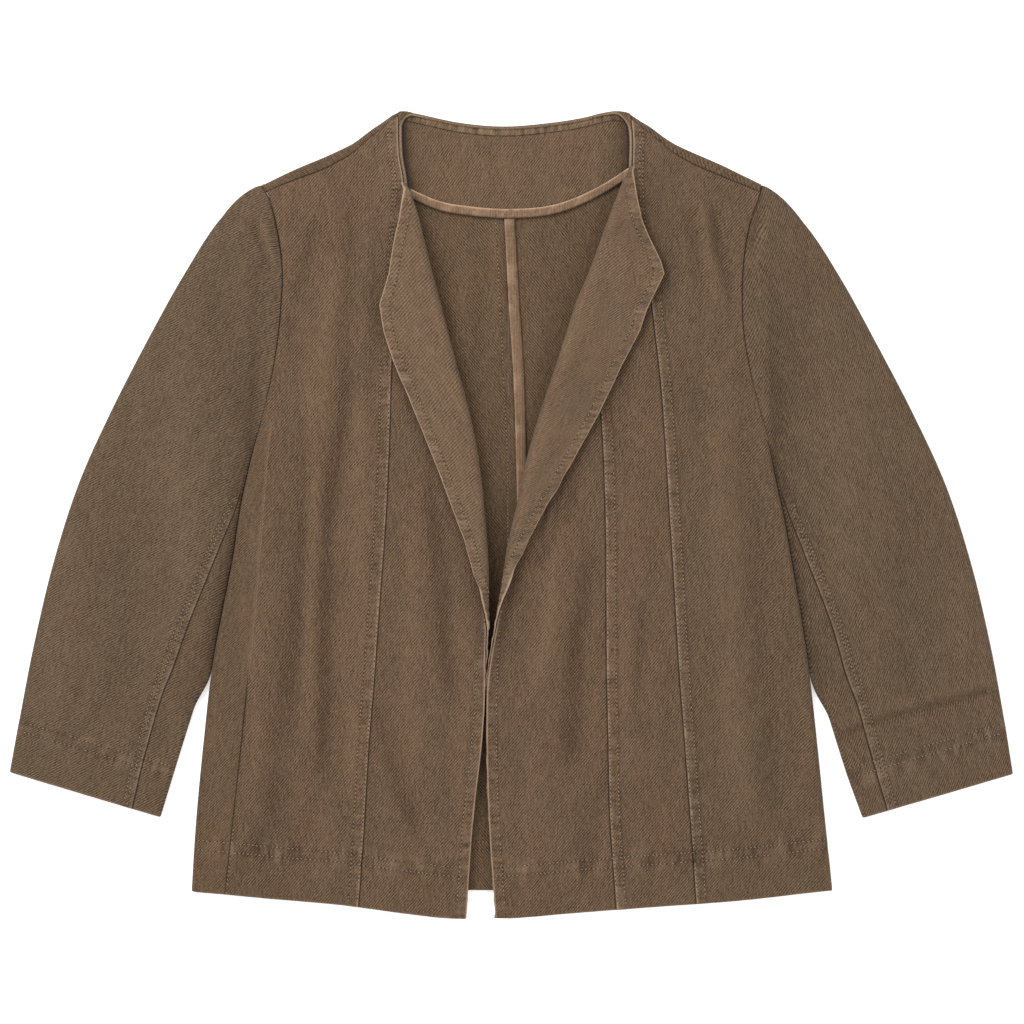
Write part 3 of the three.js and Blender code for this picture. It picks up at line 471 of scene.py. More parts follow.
def rows_of(levels, offsets, start, end, shoulder, hem):
    """Points of rows between two lines. Each column is a share of the width plus
    millimetres from its ends. Returns x, y, and the distance from either line."""
    p = np.asarray(levels, float)[:, None]
    share = np.array([o[0] for o in offsets])[None, :]
    extra = np.array([o[1] for o in offsets])[None, :]
    y = np.where(p >= 1, mix(SKIRT_Y, CHEST_Y, p - 1), mix(BACK_HEM_Y, SKIRT_Y, p))
    y = y + 0 * share
    for _ in range(8):
        a, b = start(y), end(y)
        width = np.abs(b - a)
        fit = np.minimum(1, width / 44)
        w = share * width + extra * fit
        x = a + np.sign(b - a) * w
        y = row_height(p, x, shoulder, hem)
    return x, y, w, width - w


def offsets_of(near_start, inner, near_end):
    """Columns: fine ones at either end in millimetres and even shares between."""
    first = [(0.0, mm) for mm in near_start]
    last = [(1.0, -mm) for mm in reversed(near_end)]
    lead, tail = near_start[-1], near_end[-1]
    middle = []
    for k in range(1, inner):
        t = k / inner
        middle.append((t, lead * (1 - t) - tail * t))
    return first + middle + last


FINE = [0, 0.5, 1.1, 2.0, 3.2, 4.8, 6.6, 8.2, 10.0, 12.5]
PLAIN = [0, 0.5, 1.2, 2.5, 4.5, 7.5]


def seam_dip(d, depth=0.9, reach=1.6):
    """How far the cloth turns down towards a seam at distance d."""
    return -depth * hump(d, reach)


def ruck(along, d, width, seed, height=0.42):
    """Small puckers across a stitched band of that width."""
    window = smooth(d / 1.5 + 0.2) * smooth((width + 2.5 - d) / 3.0)
    wave = noise(along, d * DRAWN, 3.1, seed) + 0.6 * noise(along, d * 0.1, 6.3, seed + 1)
    return height * window * wave


def band(d, width=BAND):
    """One over a stitched band, nothing beyond it."""
    return smooth((width + 1.5 - d) / 3.0)


def unit_normals(grid, mask):
    one = grid[1:, 1:] - grid[:-1, :-1]
    two = grid[1:, :-1] - grid[:-1, 1:]
    n = np.cross(one, two)
    n = n / np.maximum(np.linalg.norm(n, axis=2), 1e-9)[..., None] * mask[..., None]
    total = np.zeros_like(grid)
    total[1:, 1:] += n
    total[:-1, :-1] += n
    total[1:, :-1] += n
    total[:-1, 1:] += n
    return total / np.maximum(np.linalg.norm(total, axis=2), 1e-9)[..., None]


def edge_distance(grid):
    """Distance of each point to the nearest border of the grid, along rows or columns."""
    best = np.full(grid.shape[:2], 1e9)
    for axis in (0, 1):
        step = np.linalg.norm(np.diff(grid, axis=axis), axis=2)
        run = np.cumsum(step, axis=axis)
        zero = np.zeros_like(np.take(run, [0], axis=axis))
        run = np.concatenate([zero, run], axis=axis)
        whole = np.take(run, [-1], axis=axis)
        best = np.minimum(best, np.minimum(run, whole - run))
    return best


def make_object(name, points, faces, uv, marks):
    mesh = bpy.data.meshes.new(name)
    mesh.vertices.add(len(points))
    mesh.vertices.foreach_set("co", (points * MM).astype(np.float32).ravel())
    mesh.loops.add(faces.size)
    mesh.loops.foreach_set("vertex_index", faces.astype(np.int32).ravel())
    mesh.polygons.add(len(faces))
    starts = np.arange(0, faces.size, faces.shape[1], dtype=np.int32)
    mesh.polygons.foreach_set("loop_start", starts)
    mesh.update(calc_edges=True)
    mesh.validate()
    layer = mesh.uv_layers.new(name="cloth")
    corner = np.zeros(len(mesh.loops), np.int32)
    mesh.loops.foreach_get("vertex_index", corner)
    layer.data.foreach_set("uv", (uv[corner] * MM * 10).astype(np.float32).ravel())
    paint = mesh.attributes.new("marks", "FLOAT_COLOR", "POINT")
    paint.data.foreach_set("color", marks.astype(np.float32).ravel())
    mesh.shade_smooth()
    obj = bpy.data.objects.new(name, mesh)
    bpy.context.scene.collection.objects.link(obj)
    return obj


def shell(name, grid, uv=None, marks=None, wall=CLOTH, mask=None):
    """A closed sheet of cloth round a grid of middle points, with rounded edges."""
    rows, columns = grid.shape[:2]
    if mask is None:
        mask = np.ones((rows - 1, columns - 1), bool)
    normals = unit_normals(grid, mask)
    reach = np.clip(edge_distance(grid) / (wall * 0.7), 0, 1)
    half = wall / 2 * np.sqrt(np.maximum(1 - (1 - reach)**2, 0.25))
    upper = grid + normals * half[..., None]
    lower = grid - normals * half[..., None]
    if uv is None:
        uv = grid[..., :2]
    if marks is None:
        marks = np.zeros((rows, columns, 4))
    index = np.arange(rows * columns).reshape(rows, columns)
    under = index + rows * columns
    i, j = np.nonzero(mask)
    ring = [(i, j), (i, j + 1), (i + 1, j + 1), (i + 1, j)]
    faces = [np.stack([index[a] for a in ring], 1)]
    faces.append(np.stack([under[a] for a in ring[::-1]], 1))
    framed = np.pad(mask, 1)
    for k, (di, dj) in enumerate([(-1, 0), (0, 1), (1, 0), (0, -1)]):
        open_side = mask & ~framed[1 + di:rows + di, 1 + dj:columns + dj]
        i, j = np.nonzero(open_side)
        ring = [(i, j), (i, j + 1), (i + 1, j + 1), (i + 1, j)]
        a, b = ring[k], ring[(k + 1) % 4]
        faces.append(np.stack([index[b], index[a], under[a], under[b]], 1))
    faces = np.concatenate(faces)
    points = np.concatenate([upper.reshape(-1, 3), lower.reshape(-1, 3)])
    uv = np.concatenate([uv.reshape(-1, 2)] * 2)
    marks = np.concatenate([marks.reshape(-1, 4)] * 2)
    used, faces = np.unique(faces, return_inverse=True)
    faces = faces.reshape(-1, 4)
    points, uv, marks = points[used], uv[used], marks[used]
    a, b, c, d = (points[faces[:, k]] for k in range(4))
    volume = (np.cross(a, b) * c).sum() + (np.cross(a, c) * d).sum()
    if volume < 0:
        faces = faces[:, ::-1]
    return make_object(name, points, faces, uv, marks)


def level_of(y):
    """Row level of a height between skirt and chest."""
    return 1 + (y - SKIRT_Y) / (CHEST_Y - SKIRT_Y)


def row_levels(keep=(), clear=()):
    """Rows from the top down. Those to keep are put in, and those between the two
    values of clear are left out."""
    counts = (ROWS["shoulder"], ROWS["body"], ROWS["skirt"])
    parts = [top - np.linspace(0, 1, count) for top, count in zip((3, 2, 1), counts)]
    ends = [3 - 0.005, 3 - 0.012, 0.004, 0.009]
    levels = np.unique(np.round(np.concatenate(parts + [ends]), 5))
    if len(clear) == 2:
        levels = levels[(levels < clear[0]) | (levels > clear[1])]
    return np.unique(np.concatenate([levels, keep]))[::-1]


def dress(x, y, seams, hem=None, seed=0):
    """Relief and marks of stitched bands, seams and hem. Marks: tone with painted light and
    shade, wear with painted highlights, dark lines with painted shade, band.
    """
    dz = np.zeros(np.broadcast(x, y).shape)
    wear_and_highlight, dark, flat = dz.copy(), dz.copy(), dz.copy()
    for n, (d, kind, *share) in enumerate(seams):
        part = share[0] if share else 1.0
        if kind == "band":
            rucks = ruck(y, d, BAND, seed + 10 * n)
            dz += 0.5 * band(d) + rucks + seam_dip(d, 0.7, 0.8)
            patchy = 0.9 + 0.5 * noise(y, d, 9, seed + 3)
            # Wear on the rubbed line; the rucks add painted highlight on pucker crests.
            wear_and_highlight += 1.9 * patchy * hump(d, LINE, RIM) + rucks * 0.4
            flat += band(d)
            # Painted shade in the seam's groove, and darker along the row of stitching.
            dark += 1.8 * hump(d, GROOVE) + 0.35 * hump(d, LINE, BAND)
        elif kind == "edge":
            rucks = ruck(y, d, BAND, seed + 10 * n, 0.5)
            dz += 0.35 * band(d) + rucks
            worn = 1.9 + 0.6 * noise(y, d, 7, seed + 3)
            # Worn edge line, and painted highlight on pucker crests.
            wear_and_highlight += worn * hump(d, GROOVE, 0.4) + rucks * 0.45
            flat += band(d)
            dark += 0.3 * hump(d, LINE, BAND)
        elif kind == "plain":
            dz += part * seam_dip(d, 0.3, 0.9)
            # Painted shade in the seam's groove.
            dark += part * 1.4 * hump(d, 0.45)
            wear_and_highlight += (1 - part) * 0.7 * hump(d, LINE)
    if hem is not None:
        d = y - hem(x)
        for row in (HEM_DEPTH, HEM_TWIN):
            near = hump(d, ROW_SPREAD, row)
            puckers = noise(x, d * DRAWN, 3.0, seed + 50) + 0.5 * noise(x, d * 0.1, 7, 51)
            rucks = 0.5 * near * puckers
            dz += rucks
            # Painted highlight on pucker crests and painted shade in their troughs.
            wear_and_highlight += rucks * 0.9
            dark += 0.3 * hump(d, 1.2, row) + 0.6 * np.maximum(-rucks, 0)
        dz += 0.4 * band(d, HEM_DEPTH)
        wear_and_highlight += (0.6 + 0.4 * noise(x, d, 6, seed + 4)) * hump(d, 0.8)
        flat -= hump(d, 5, (HEM_DEPTH + HEM_TWIN) / 2)
    return dz, wear_and_highlight, dark, flat


def marks_of(tone_and_shade, wear_and_highlight, dark, flat):
    """The four marks of each point as the channels of one colour attribute."""
    values = np.broadcast_arrays(tone_and_shade, wear_and_highlight, dark, flat)
    return np.stack([np.clip(v, -2, 2) for v in values], -1)


def body_light_and_shade(side, x, y):
    """Painted light and shade: lighter on crests, darker in troughs, and a painted shadow
    close under the lapel. Also lighter higher up and darker towards the outer lower part.
    """
    beyond = (side.edge(y) - x) * side.to_centre
    reach = smooth((252 - y) / 20) * smooth((y + 74) / 30)
    deep, spread = side.shade
    near = np.exp(-(np.maximum(beyond, 0) / spread)**1.2) * reach
    upper = 0.35 * smooth((y - 60) / 110)
    outer = smooth((-138 - x) / 30) * smooth((90 - y) / 90)
    return folds(side.table, x, y) * 1.15 + upper - 0.5 * outer - deep * near


def sheet_of(side, levels, columns, start, end, top):
    """A panel of the front between two lines, with the distance from either of them."""
    x, y, a, b = rows_of(levels, columns, start, end, top, hem_line)
    return np.stack([x, y, front_height(side, x, y)], -1), a, b


def moved(line, by):
    return lambda y: line(y) + by


def below_shoulder(x):
    return shoulder_seam(x) - 0.1


def turned(x, y, radius, angle, way=1):
    """Points of a fold with the surface below it: angle 90 is its top, -90 its underside."""
    return np.stack([x + way * radius * np.cos(angle), y + 0 * angle,
                     REST + radius + radius * np.sin(angle)], -1)


def side_left():
    """Left front from its seam out to the armhole, and to the side seam below it."""
    levels = row_levels(keep=[level_of(LEFT.foot)])
    s = LEFT.side

    def start(y):
        return np.where(y > LEFT.foot, s(y) + ARMHOLE_STRIP, LEFT.seam(y)) + SEAM
    end = moved(LEFT.mid, -SEAM)
    columns = offsets_of(FINE, 30, FINE)
    grid, _, _ = sheet_of(LEFT, levels, columns, start, end, below_shoulder)
    strips = [0, 0.5, 1.2, 2.5, 4.5]
    lead = np.repeat(grid[:, :1], len(strips), axis=1)
    for k, mm in enumerate(strips):
        outer = s(lead[:, k, 1]) + SEAM
        lead[:, k, 0] = np.where(lead[:, k, 1] > LEFT.foot, outer + mm, lead[:, k, 0])
    lead[..., 2] = front_height(LEFT, lead[..., 0], lead[..., 1])
    grid = np.concatenate([lead, grid], 1)
    x, y = grid[..., 0], grid[..., 1]
    from_start = np.where(y > LEFT.foot, x - s(y) - SEAM, x - start(y))
    from_end = end(y) - x
    above = y > LEFT_BAND_TOP
    seen = np.where(y > LEFT.foot, 1, smooth((-110 - y) / 30))
    seams = [(from_start, "plain", seen), (np.where(above, FAR, from_end), "band"),
             (np.where(above, from_end, FAR), "edge"),
             (shoulder_seam(x) - y, "plain")]
    dz, wear_and_highlight, dark, flat = dress(x, y, seams, hem_line, 100)
    grid[..., 2] += dz
    mask = np.ones((len(levels) - 1, grid.shape[1] - 1), bool)
    mask[levels[1:] < level_of(LEFT.foot) - 1e-4, :len(strips)] = False
    marks = marks_of(body_light_and_shade(LEFT, x, y), wear_and_highlight, dark, flat)
    return shell("front_left_side_cloth", grid, marks=marks, mask=mask)


def side_right():
    """Right front from its outer seam to the armhole. Below it the cloth turns under."""
    levels = row_levels(keep=[level_of(RIGHT.foot)])
    s = RIGHT.side
    foot = level_of(RIGHT.foot)

    def radius_at(y):
        return (front_height(RIGHT, s(y), y) - REST) / 2

    start = moved(RIGHT.outer, SEAM)

    def end(y):
        at_fold = s(y) - radius_at(y) - CLOTH / 2
        return np.where(y <= RIGHT.foot, at_fold, s(y) - SEAM)
    columns = offsets_of(FINE, 26, FINE)
    grid, a, _ = sheet_of(RIGHT, levels, columns, start, end, below_shoulder)
    x, y = grid[..., 0], grid[..., 1]
    below = levels <= foot + 1e-6
    side_gap = np.where(below[:, None], FAR, s(y) - x)
    above = y > RIGHT_BAND_TOP
    seams = [(np.where(above, FAR, a), "band"), (side_gap, "plain"),
             (shoulder_seam(x) - y, "plain"), (np.where(above, a, FAR), "edge")]
    dz, wear_and_highlight, dark, flat = dress(x, y, seams, hem_line, 200)
    grid[..., 2] += dz
    ex, ey, ez = (grid[:, -1:, k] for k in range(3))
    radius = (ez - REST) / 2
    t = np.radians(np.linspace(78, -90, 12))[None, :]
    turn = turned(ex, ey, radius, t)
    back = np.stack([ex - 8, ey, 0 * ex + REST], -1)
    grid = np.concatenate([grid, turn, back], 1)
    extra = grid.shape[1] - x.shape[1]

    def widen(v):
        return np.concatenate([v, np.repeat(v[:, -1:], extra, 1)], 1)
    mask = np.ones((len(levels) - 1, grid.shape[1] - 1), bool)
    mask[~below[:-1], -extra:] = False
    marks = marks_of(*[widen(v) for v in (body_light_and_shade(RIGHT, x, y), wear_and_highlight, dark, flat)])
    uv = np.stack([grid[..., 0] - (grid[..., 2] - LIE), grid[..., 1]], -1)
    return shell("front_right_side_cloth", grid, uv=uv, marks=marks, mask=mask)


def middle_right():
    """Right front between its two seams."""
    start, end = moved(RIGHT.mid, SEAM), moved(RIGHT.outer, -SEAM)
    columns = offsets_of(FINE, 10, FINE)
    grid, a, b = sheet_of(RIGHT, row_levels(), columns, start, end, lambda x: MIDDLE_TOP + 0 * x)
    x, y = grid[..., 0], grid[..., 1]
    dz, wear_and_highlight, dark, flat = dress(x, y, [(a, "band"), (b, "plain")], hem_line, 300)
    grid[..., 2] += dz
    return shell("front_right_mid_cloth", grid,
                 marks=marks_of(body_light_and_shade(RIGHT, x, y), wear_and_highlight, dark, flat))


TURN_STEPS = 14      # columns round the turn of a front
FLAP_STEPS = 34      # columns from there to the lapel's edge
FRONT_COLUMNS = 8    # columns of the front that the facing leaves bare
paths = {}           # stitched rows that follow a finished edge


def stitch_path(grid, distance, y_low, y_high):
    """Points at that distance from the last point of each row."""
    run = from_last(grid)
    path = []
    for row, r in zip(grid, run):
        x = np.interp(distance, r[::-1], row[::-1, 0])
        y = np.interp(distance, r[::-1], row[::-1, 1])
        if y_low < y < y_high:
            path.append((x, y))
    return path


def centre_grid(side, top, seed):
    """Centre part of a front with its lapel: across the body, round the roll line, out
    along the flap. Below the lapel the turn opens until the edge lies flat."""
    s = side.to_centre
    levels = row_levels()
    body = offsets_of(FINE, 18, [0, 0.8, 1.8, 3.2, 5.5])
    y_row = np.where(levels >= 2, mix(CHEST_Y, top, levels - 2), 0)
    y_row = np.where(levels < 2, mix(SKIRT_Y, CHEST_Y, levels - 1), y_row)
    y_row = np.where(levels < 1, mix(BACK_HEM_Y, SKIRT_Y, levels), y_row)[:, None]
    angle = np.radians(np.clip(side.angle(y_row), 2, 180))
    radius = side.round(y_row) / angle
    flap = side.flap(y_row)
    cover = np.where(angle < np.pi / 2, np.sin(angle), 1)
    beyond = np.where(angle < np.pi / 2, flap * np.cos(angle), 0)
    inset = radius * np.sin(np.minimum(angle, np.pi / 2)) + beyond
    inset = inset + cover * (TURN_PLY + CLOTH / 2)

    def end(y):
        return side.roll(y) - s * np.interp(y, y_row[::-1, 0], inset[::-1, 0])
    grid, a, _ = sheet_of(side, levels, body, moved(side.mid, s * SEAM), end, lambda x: top + 0 * x)
    x, y = grid[..., 0], grid[..., 1]
    dz, wear_and_highlight, dark, flat = dress(x, y, [(a, "plain")], hem_line, seed)
    grid[..., 2] += dz
    ex, ey, ez = (grid[:, -1:, k] for k in range(3))
    t = angle * np.linspace(0, 1, TURN_STEPS + 1)[None, 1:]
    turn = np.stack([ex + s * radius * np.sin(t), ey + 0 * t, ez + radius * (1 - np.cos(t))], -1)
    tx, tz = turn[:, -1:, 0], turn[:, -1:, 2]
    full = smooth((angle - np.radians(150)) / np.radians(30))
    lapel = np.maximum(s * (tx - side.edge(y_row)), 0.3)
    length = mix(flap, lapel, full)
    q = np.linspace(0, 1, FLAP_STEPS + 1)[None, 1:]
    q = mix(q, 1 - (1 - q)**2, 0.75)
    fx = tx + s * length * q * np.cos(angle)
    level_z = front_height(side, fx, ey, 0.3) + mix(2 * radius, side.spring(y_row), smooth(q))
    fz = mix(tz + length * q * np.sin(angle), level_z, full)
    outer = np.stack([fx, ey + 0 * q, fz], -1)
    whole = np.concatenate([grid, turn, outer], 1)
    extra = whole.shape[1] - x.shape[1]

    def widen(v):
        return np.concatenate([v, np.zeros((len(v), extra))], 1)
    tone_and_shade, wear_and_highlight, dark, flat = [widen(v) for v in (body_light_and_shade(side, x, y), wear_and_highlight, dark, flat)]
    run = from_last(whole)
    below = smooth((LAPEL_FOOT - y_row) / 22)
    band_dz, band_wear_and_highlight, band_dark, band_flat = dress(0 * run, whole[..., 1], [(run, "edge")],
                                                     None, seed + 3)
    whole[..., 2] += band_dz * below
    wear_and_highlight = wear_and_highlight + band_wear_and_highlight * below
    # Painted shadow line along the front's edge where it lies beneath the lapel.
    dark = dark + (1 - below) * 0.8 * hump(run, 1.3)
    marks = [tone_and_shade, wear_and_highlight, dark + band_dark * below, flat + band_flat * below]
    return whole, marks, x.shape[1]


def arc_uv(grid, anchor):
    """Lay the cloth flat: distance along each row for u, and y for v."""
    u = grid[:, :1, 0] + anchor * run_of(grid)
    return np.stack([u, grid[..., 1]], -1)


def centre_and_facing(side, top, name, seed):
    """Centre part of a front, and the facing that lies on it from edge to lapel."""
    grid, marks, body = centre_grid(side, top, seed)
    normals = unit_normals(grid, np.ones((grid.shape[0] - 1, grid.shape[1] - 1), bool))
    up = np.sign(normals[-4, 3, 2])
    ply = np.where(np.arange(grid.shape[1]) < body, PLY, TURN_PLY)[None, :, None]
    facing = grid - normals * up * ply
    facing = facing[:, FRONT_COLUMNS:-2]
    y = facing[..., 1]
    d = from_last(facing)
    dz, wear_and_highlight, dark, flat = dress(d * 0, y, [(d, "edge")], None, seed + 7)
    swell = 0.3 * noise(d, y * 0.5, 17, seed) + 0.15 * noise(d, y, 6, seed + 1)
    lapel = np.arange(facing.shape[1])[None, :] >= body - FRONT_COLUMNS + 2
    out = unit_normals(facing, np.ones((facing.shape[0] - 1, facing.shape[1] - 1), bool))
    push = np.where(lapel, dz + swell * smooth(d / 4), 0)
    facing = facing - out * up * push[..., None]
    # Painted light where the facing swells up and painted shade where it sinks.
    tone_and_shade = swell * 0.6
    paths[name + "_lapel"] = stitch_path(facing, EDGE_STITCH, LAPEL_FOOT, top - 16)
    paths[name + "_edge"] = stitch_path(grid, EDGE_STITCH, -294, LAPEL_FOOT - 4)
    curl = hump(d, 0.9) * 0.5 * lapel
    facing = facing + out * up * curl[..., None]
    front = shell(name + "_centre_cloth", grid, uv=arc_uv(grid, side.to_centre),
                  marks=marks_of(*marks))
    cover = shell("facing_" + name[6:] + "_cloth", facing, uv=arc_uv(facing, -side.to_centre),
                  marks=marks_of(tone_and_shade, wear_and_highlight * lapel, dark * lapel, flat * lapel))
    return front, cover


def back_half(side, name, folds_over):
    """Half of the back: it lies on the surface, turns over at the shoulder up to the
    shoulder seam and, where it folds over, at the side up to the side seam."""
    s = -side.to_centre
    foot = side.foot
    keep = [level_of(foot), level_of(foot + 2.5)]
    levels = row_levels(keep=keep, clear=(level_of(foot - 0.3), level_of(foot + 2.8)))
    neck_x = abs(float(side.roll(303))) - 1

    def radius_at(x, y):
        return (front_height(side, x, y) - REST) / 2

    def centre(y):
        return CENTRE_BACK_X + s * SEAM + 0 * y

    def edge(y):
        x = side.side(y)
        fold = radius_at(x, y) + CLOTH / 2
        under = fold if folds_over else 10 + CLOTH
        return np.where(y > foot + 1, x - s * SEAM, x - s * under)

    def top(x):
        free = np.abs(x) < neck_x + 0.3
        return np.where(free, top_line(x), top_line(x) - CLOTH / 2 - radius_at(x, top_line(x)))
    width_top = abs(edge(300.0) - centre(300.0))
    share = abs(s * neck_x - CENTRE_BACK_X - s * SEAM) / width_top
    first = [(0.0, mm) for mm in PLAIN]
    inner = [(t, PLAIN[-1] * (1 - t / share)) for t in np.linspace(0, share, 20)[1:]]
    outer = [(t, -PLAIN[-1] * (t - share) / (1 - share)) for t in np.linspace(share, 1, 20)[1:-1]]
    last = [(1.0, -mm) for mm in PLAIN[::-1]]
    columns = first + inner + outer + last
    neck_column = len(first) + len(inner) - 1
    x, y, a, _ = rows_of(levels, columns, centre, edge, top, lambda q: BACK_HEM_Y + 0 * q)
    seen = smooth((95 - np.abs(x)) / 20)
    dz = seen * (folds(BACK_FOLDS, x, y) + 0.3 * noise(x, y * 0.5, 15, 21) + 0.3)
    dz = dz + 0.2 * noise(x, y * 0.6, 6, 22) * seen + seam_dip(a, 0.25, 2)
    hem_gap = y - BACK_HEM_Y
    dz = dz + 0.3 * band(hem_gap, BACK_DEPTH) * seen
    z = REST + 0.3 + dz
    main = np.stack([x, y, z], -1)
    # Painted light and shade on the back's folds, and a painted shadow in the slit between the two
    # fronts.
    slit = hump(x, 13, -12) * smooth((24 - y) / 60) * smooth((y + 250) / 60)
    tone_and_shade = folds(BACK_FOLDS, x, y) * 0.6 - 3.2 * slit
    dark = 0.3 * hump(hem_gap, LINE, BACK_DEPTH) + 0.3 * hump(hem_gap, LINE, BACK_TWIN)
    dark = dark + 0.2 * hump(np.abs(a - 6.0), 0.7) * (s < 0)
    x0, y0 = x[:1], y[:1]
    radius = radius_at(x0, y0)
    t = np.radians(np.linspace(90, -80, 12))[:, None]
    base = np.minimum(y0, top_line(x0) - CLOTH / 2 - radius)
    over = np.stack([x0 + 0 * t, base + radius * np.cos(t), REST + radius + radius * np.sin(t)], -1)
    at_edge = side.side(over[:, -1, 1]) - s * SEAM
    over[:, -1, 0] = at_edge
    seam_y = shoulder_seam(x0)
    q = np.linspace(0, 1, 6)[:-1, None]
    lie_y = mix(seam_y, np.maximum(base, seam_y + 0.4), q)
    lie_x = x0 + 0 * q
    lie = np.stack([lie_x, lie_y, front_height(side, lie_x, lie_y)], -1)
    lie[..., 2] += seam_dip(lie_y - seam_y, 0.3, 0.9)
    lie[:, -1, 0] = side.side(lie[:, -1, 1]) - s * SEAM
    shoulder = np.concatenate([lie, over])
    n = len(shoulder)
    grid = np.concatenate([shoulder, main])
    rows = len(grid)

    def deepen(v, at_seam=0.0):
        lead = np.zeros((n, v.shape[1]))
        lead[0] = at_seam
        return np.concatenate([lead, v])
    tone_and_shade, dark = deepen(tone_and_shade), deepen(dark, 1.0)
    wear_and_highlight = np.zeros_like(tone_and_shade)
    below = np.concatenate([np.zeros(n, bool), levels <= level_of(foot) + 1e-6])
    count = grid.shape[1]
    if folds_over:
        ex, ey = (grid[:, -1:, k] for k in range(2))
        r = radius_at(side.side(ey), ey)
        t = np.radians(np.linspace(-75, 90, 12))[None, :]
        turn = turned(ex, ey, r, t, s)
        seam_x = side.seam(ey) + s * SEAM
        q = np.linspace(0, 1, 9)[None, 1:]
        q = 1 - (1 - q)**1.6
        lx = mix(ex, seam_x, q)
        gap = np.abs(lx - seam_x)
        lz = front_height(side, lx, ey + 0 * q)
        low = np.clip((SKIRT_Y - ey) / (SKIRT_Y - BACK_HEM_Y), 0, 1)
        ly = ey + low * (hem_line(lx) - BACK_HEM_Y)
        turn[..., 1] += low * (hem_line(turn[..., 0]) - BACK_HEM_Y)
        quiet = smooth((-110 - ey) / 30)
        seam_dz, seam_wear_and_highlight, seam_dark, _ = dress(lx, ly, [(gap, "plain", quiet)], hem_line, 150)
        lz = lz + seam_dz
        grid = np.concatenate([grid, turn, np.stack([lx, ly, lz], -1)], 1)
        extra = grid.shape[1] - count
        pad = np.zeros((rows, extra - lx.shape[1]))
        # Painted light on the strip round the side fold.
        tone_and_shade = np.concatenate([tone_and_shade, pad, 0.5 + 0 * lx], 1)
        wear_and_highlight = np.concatenate([wear_and_highlight, pad, seam_wear_and_highlight], 1)
        dark = np.concatenate([dark, pad, seam_dark], 1)
    mask = np.ones((rows - 1, grid.shape[1] - 1), bool)
    mask[:n, :neck_column] = False
    if folds_over:
        mask[~below[:-1], count - 1:] = False
    uv = np.stack([-grid[:, :1, 0] - s * run_of(grid), grid[..., 1]], -1)
    return shell(name + "_cloth", grid, uv=uv, marks=marks_of(tone_and_shade, wear_and_highlight, dark, 0 * tone_and_shade),
                 mask=mask)


NECK_REST = REST + PLY + 0.5   # middle of the neck facing where it lies on the back
NECK_CLEAR = 0.35    # the neck facing stops this far short of either front
NECK_CLIMB = 7       # it climbs to the collar's ends over this length
TAPE_CLIMB = 10      # so does the tape on its lower edge
TAPE_UNDER = 2.2     # and ends this far below the middle of the front


def neck_facing():
    """Facing inside the collar: it climbs to the collar's ends, with a stitched rim."""
    share = np.unique(np.concatenate([np.linspace(0, 1, 170), np.linspace(0, 0.07, 30),
                                      np.linspace(0.93, 1, 30)]))[None, :]
    t = np.concatenate([np.linspace(0, 0.15, 26), np.linspace(0.165, 1, 26)])[:, None]
    y = mix(302.0, 235.0, t) + 0 * share
    for _ in range(12):
        left, right = LEFT.mid(y) + NECK_CLEAR, RIGHT.outer(y) - NECK_CLEAR
        x = mix(left, right, share)
        low = top_line(x) - 0.3
        y = mix(low, neck_lower(x), t)
    down = low - y
    d_left, d_right = x - left, right - x
    rise_left = (1 - smooth(d_left / NECK_CLIMB))**1.3
    rise_right = (1 - smooth(d_right / NECK_CLIMB))**1.3
    z_left = front_height(LEFT, left, y) - 0.5
    z_right = front_height(RIGHT, right, y) - 0.5
    z = NECK_REST + rise_left * np.maximum(z_left - NECK_REST, 0)
    z = z + rise_right * np.maximum(z_right - NECK_REST, 0)
    corner = hump(down, 3.5)
    z = z + corner * (hump(d_left, 5, 4) + hump(d_right, 5, 4)) * 1.5
    z = z + 0.25 * noise(x, y, 14, 31) + 0.12 * noise(x, y, 6, 32)
    aside = np.minimum(d_left, d_right)
    round_in = NECK_CORNER - np.hypot(NECK_CORNER - aside, NECK_CORNER - down)
    at_corner = (aside < NECK_CORNER) & (down < NECK_CORNER)
    rim = np.where(at_corner, round_in, np.minimum(aside, down))
    deep = 0.4 + 0.6 * hump(aside, 16)
    z = z + 0.6 * (1 - smooth((rim - 1.2) / 1.4)) - 0.3 * hump(np.minimum(aside, down), 0.8)
    window = smooth((rim - 1.6) / 1.2) * smooth((NECK_STITCH - down) / 1.2)
    pleat = noise(x, down * 0.15, 1.7, 410) + 0.4 * noise(x, down * 0.1, 5.5, 411)
    row = hump(down, 0.5, NECK_STITCH) * smooth((aside - 3) / 5)
    z = z + 0.45 * band(down, NECK_STITCH - 1.5) + 0.3 * pleat * window - 0.3 * row
    # Painted light on the pleats' crests and painted shade in their troughs, a painted shadow line just
    # inside the rim, and painted shade in the inner corners beside the fronts; the stitched band is
    # lighter.
    wear_and_highlight = 1.5 * deep * hump(rim, 0.5, 1.3) + 0.55 * np.maximum(pleat, 0) * window
    dark = 1.6 * deep * hump(rim, 0.6, 2.5) + 0.9 * np.maximum(-pleat - 0.1, 0) * window
    dark = dark + row * (1.3 + 0.6 * noise(x, down * 0.1, 2.2, 412))
    dark = dark + 1.0 * np.exp(-np.maximum(aside - 2.2, 0) / 4.5) * smooth((rim - 2) / 1.0)
    shade = 2.3 * np.exp(-np.maximum(d_left - 2, 0) / 7) + 2.6 * np.exp(-np.maximum(d_right - 2, 0) / 7)
    tone_and_shade = 1.7 * window - shade * smooth((rim - 2) / 1.5)
    return shell("neck_facing_cloth", np.stack([x, y, z], -1),
                 marks=marks_of(tone_and_shade, wear_and_highlight, dark, -0.8 * window))


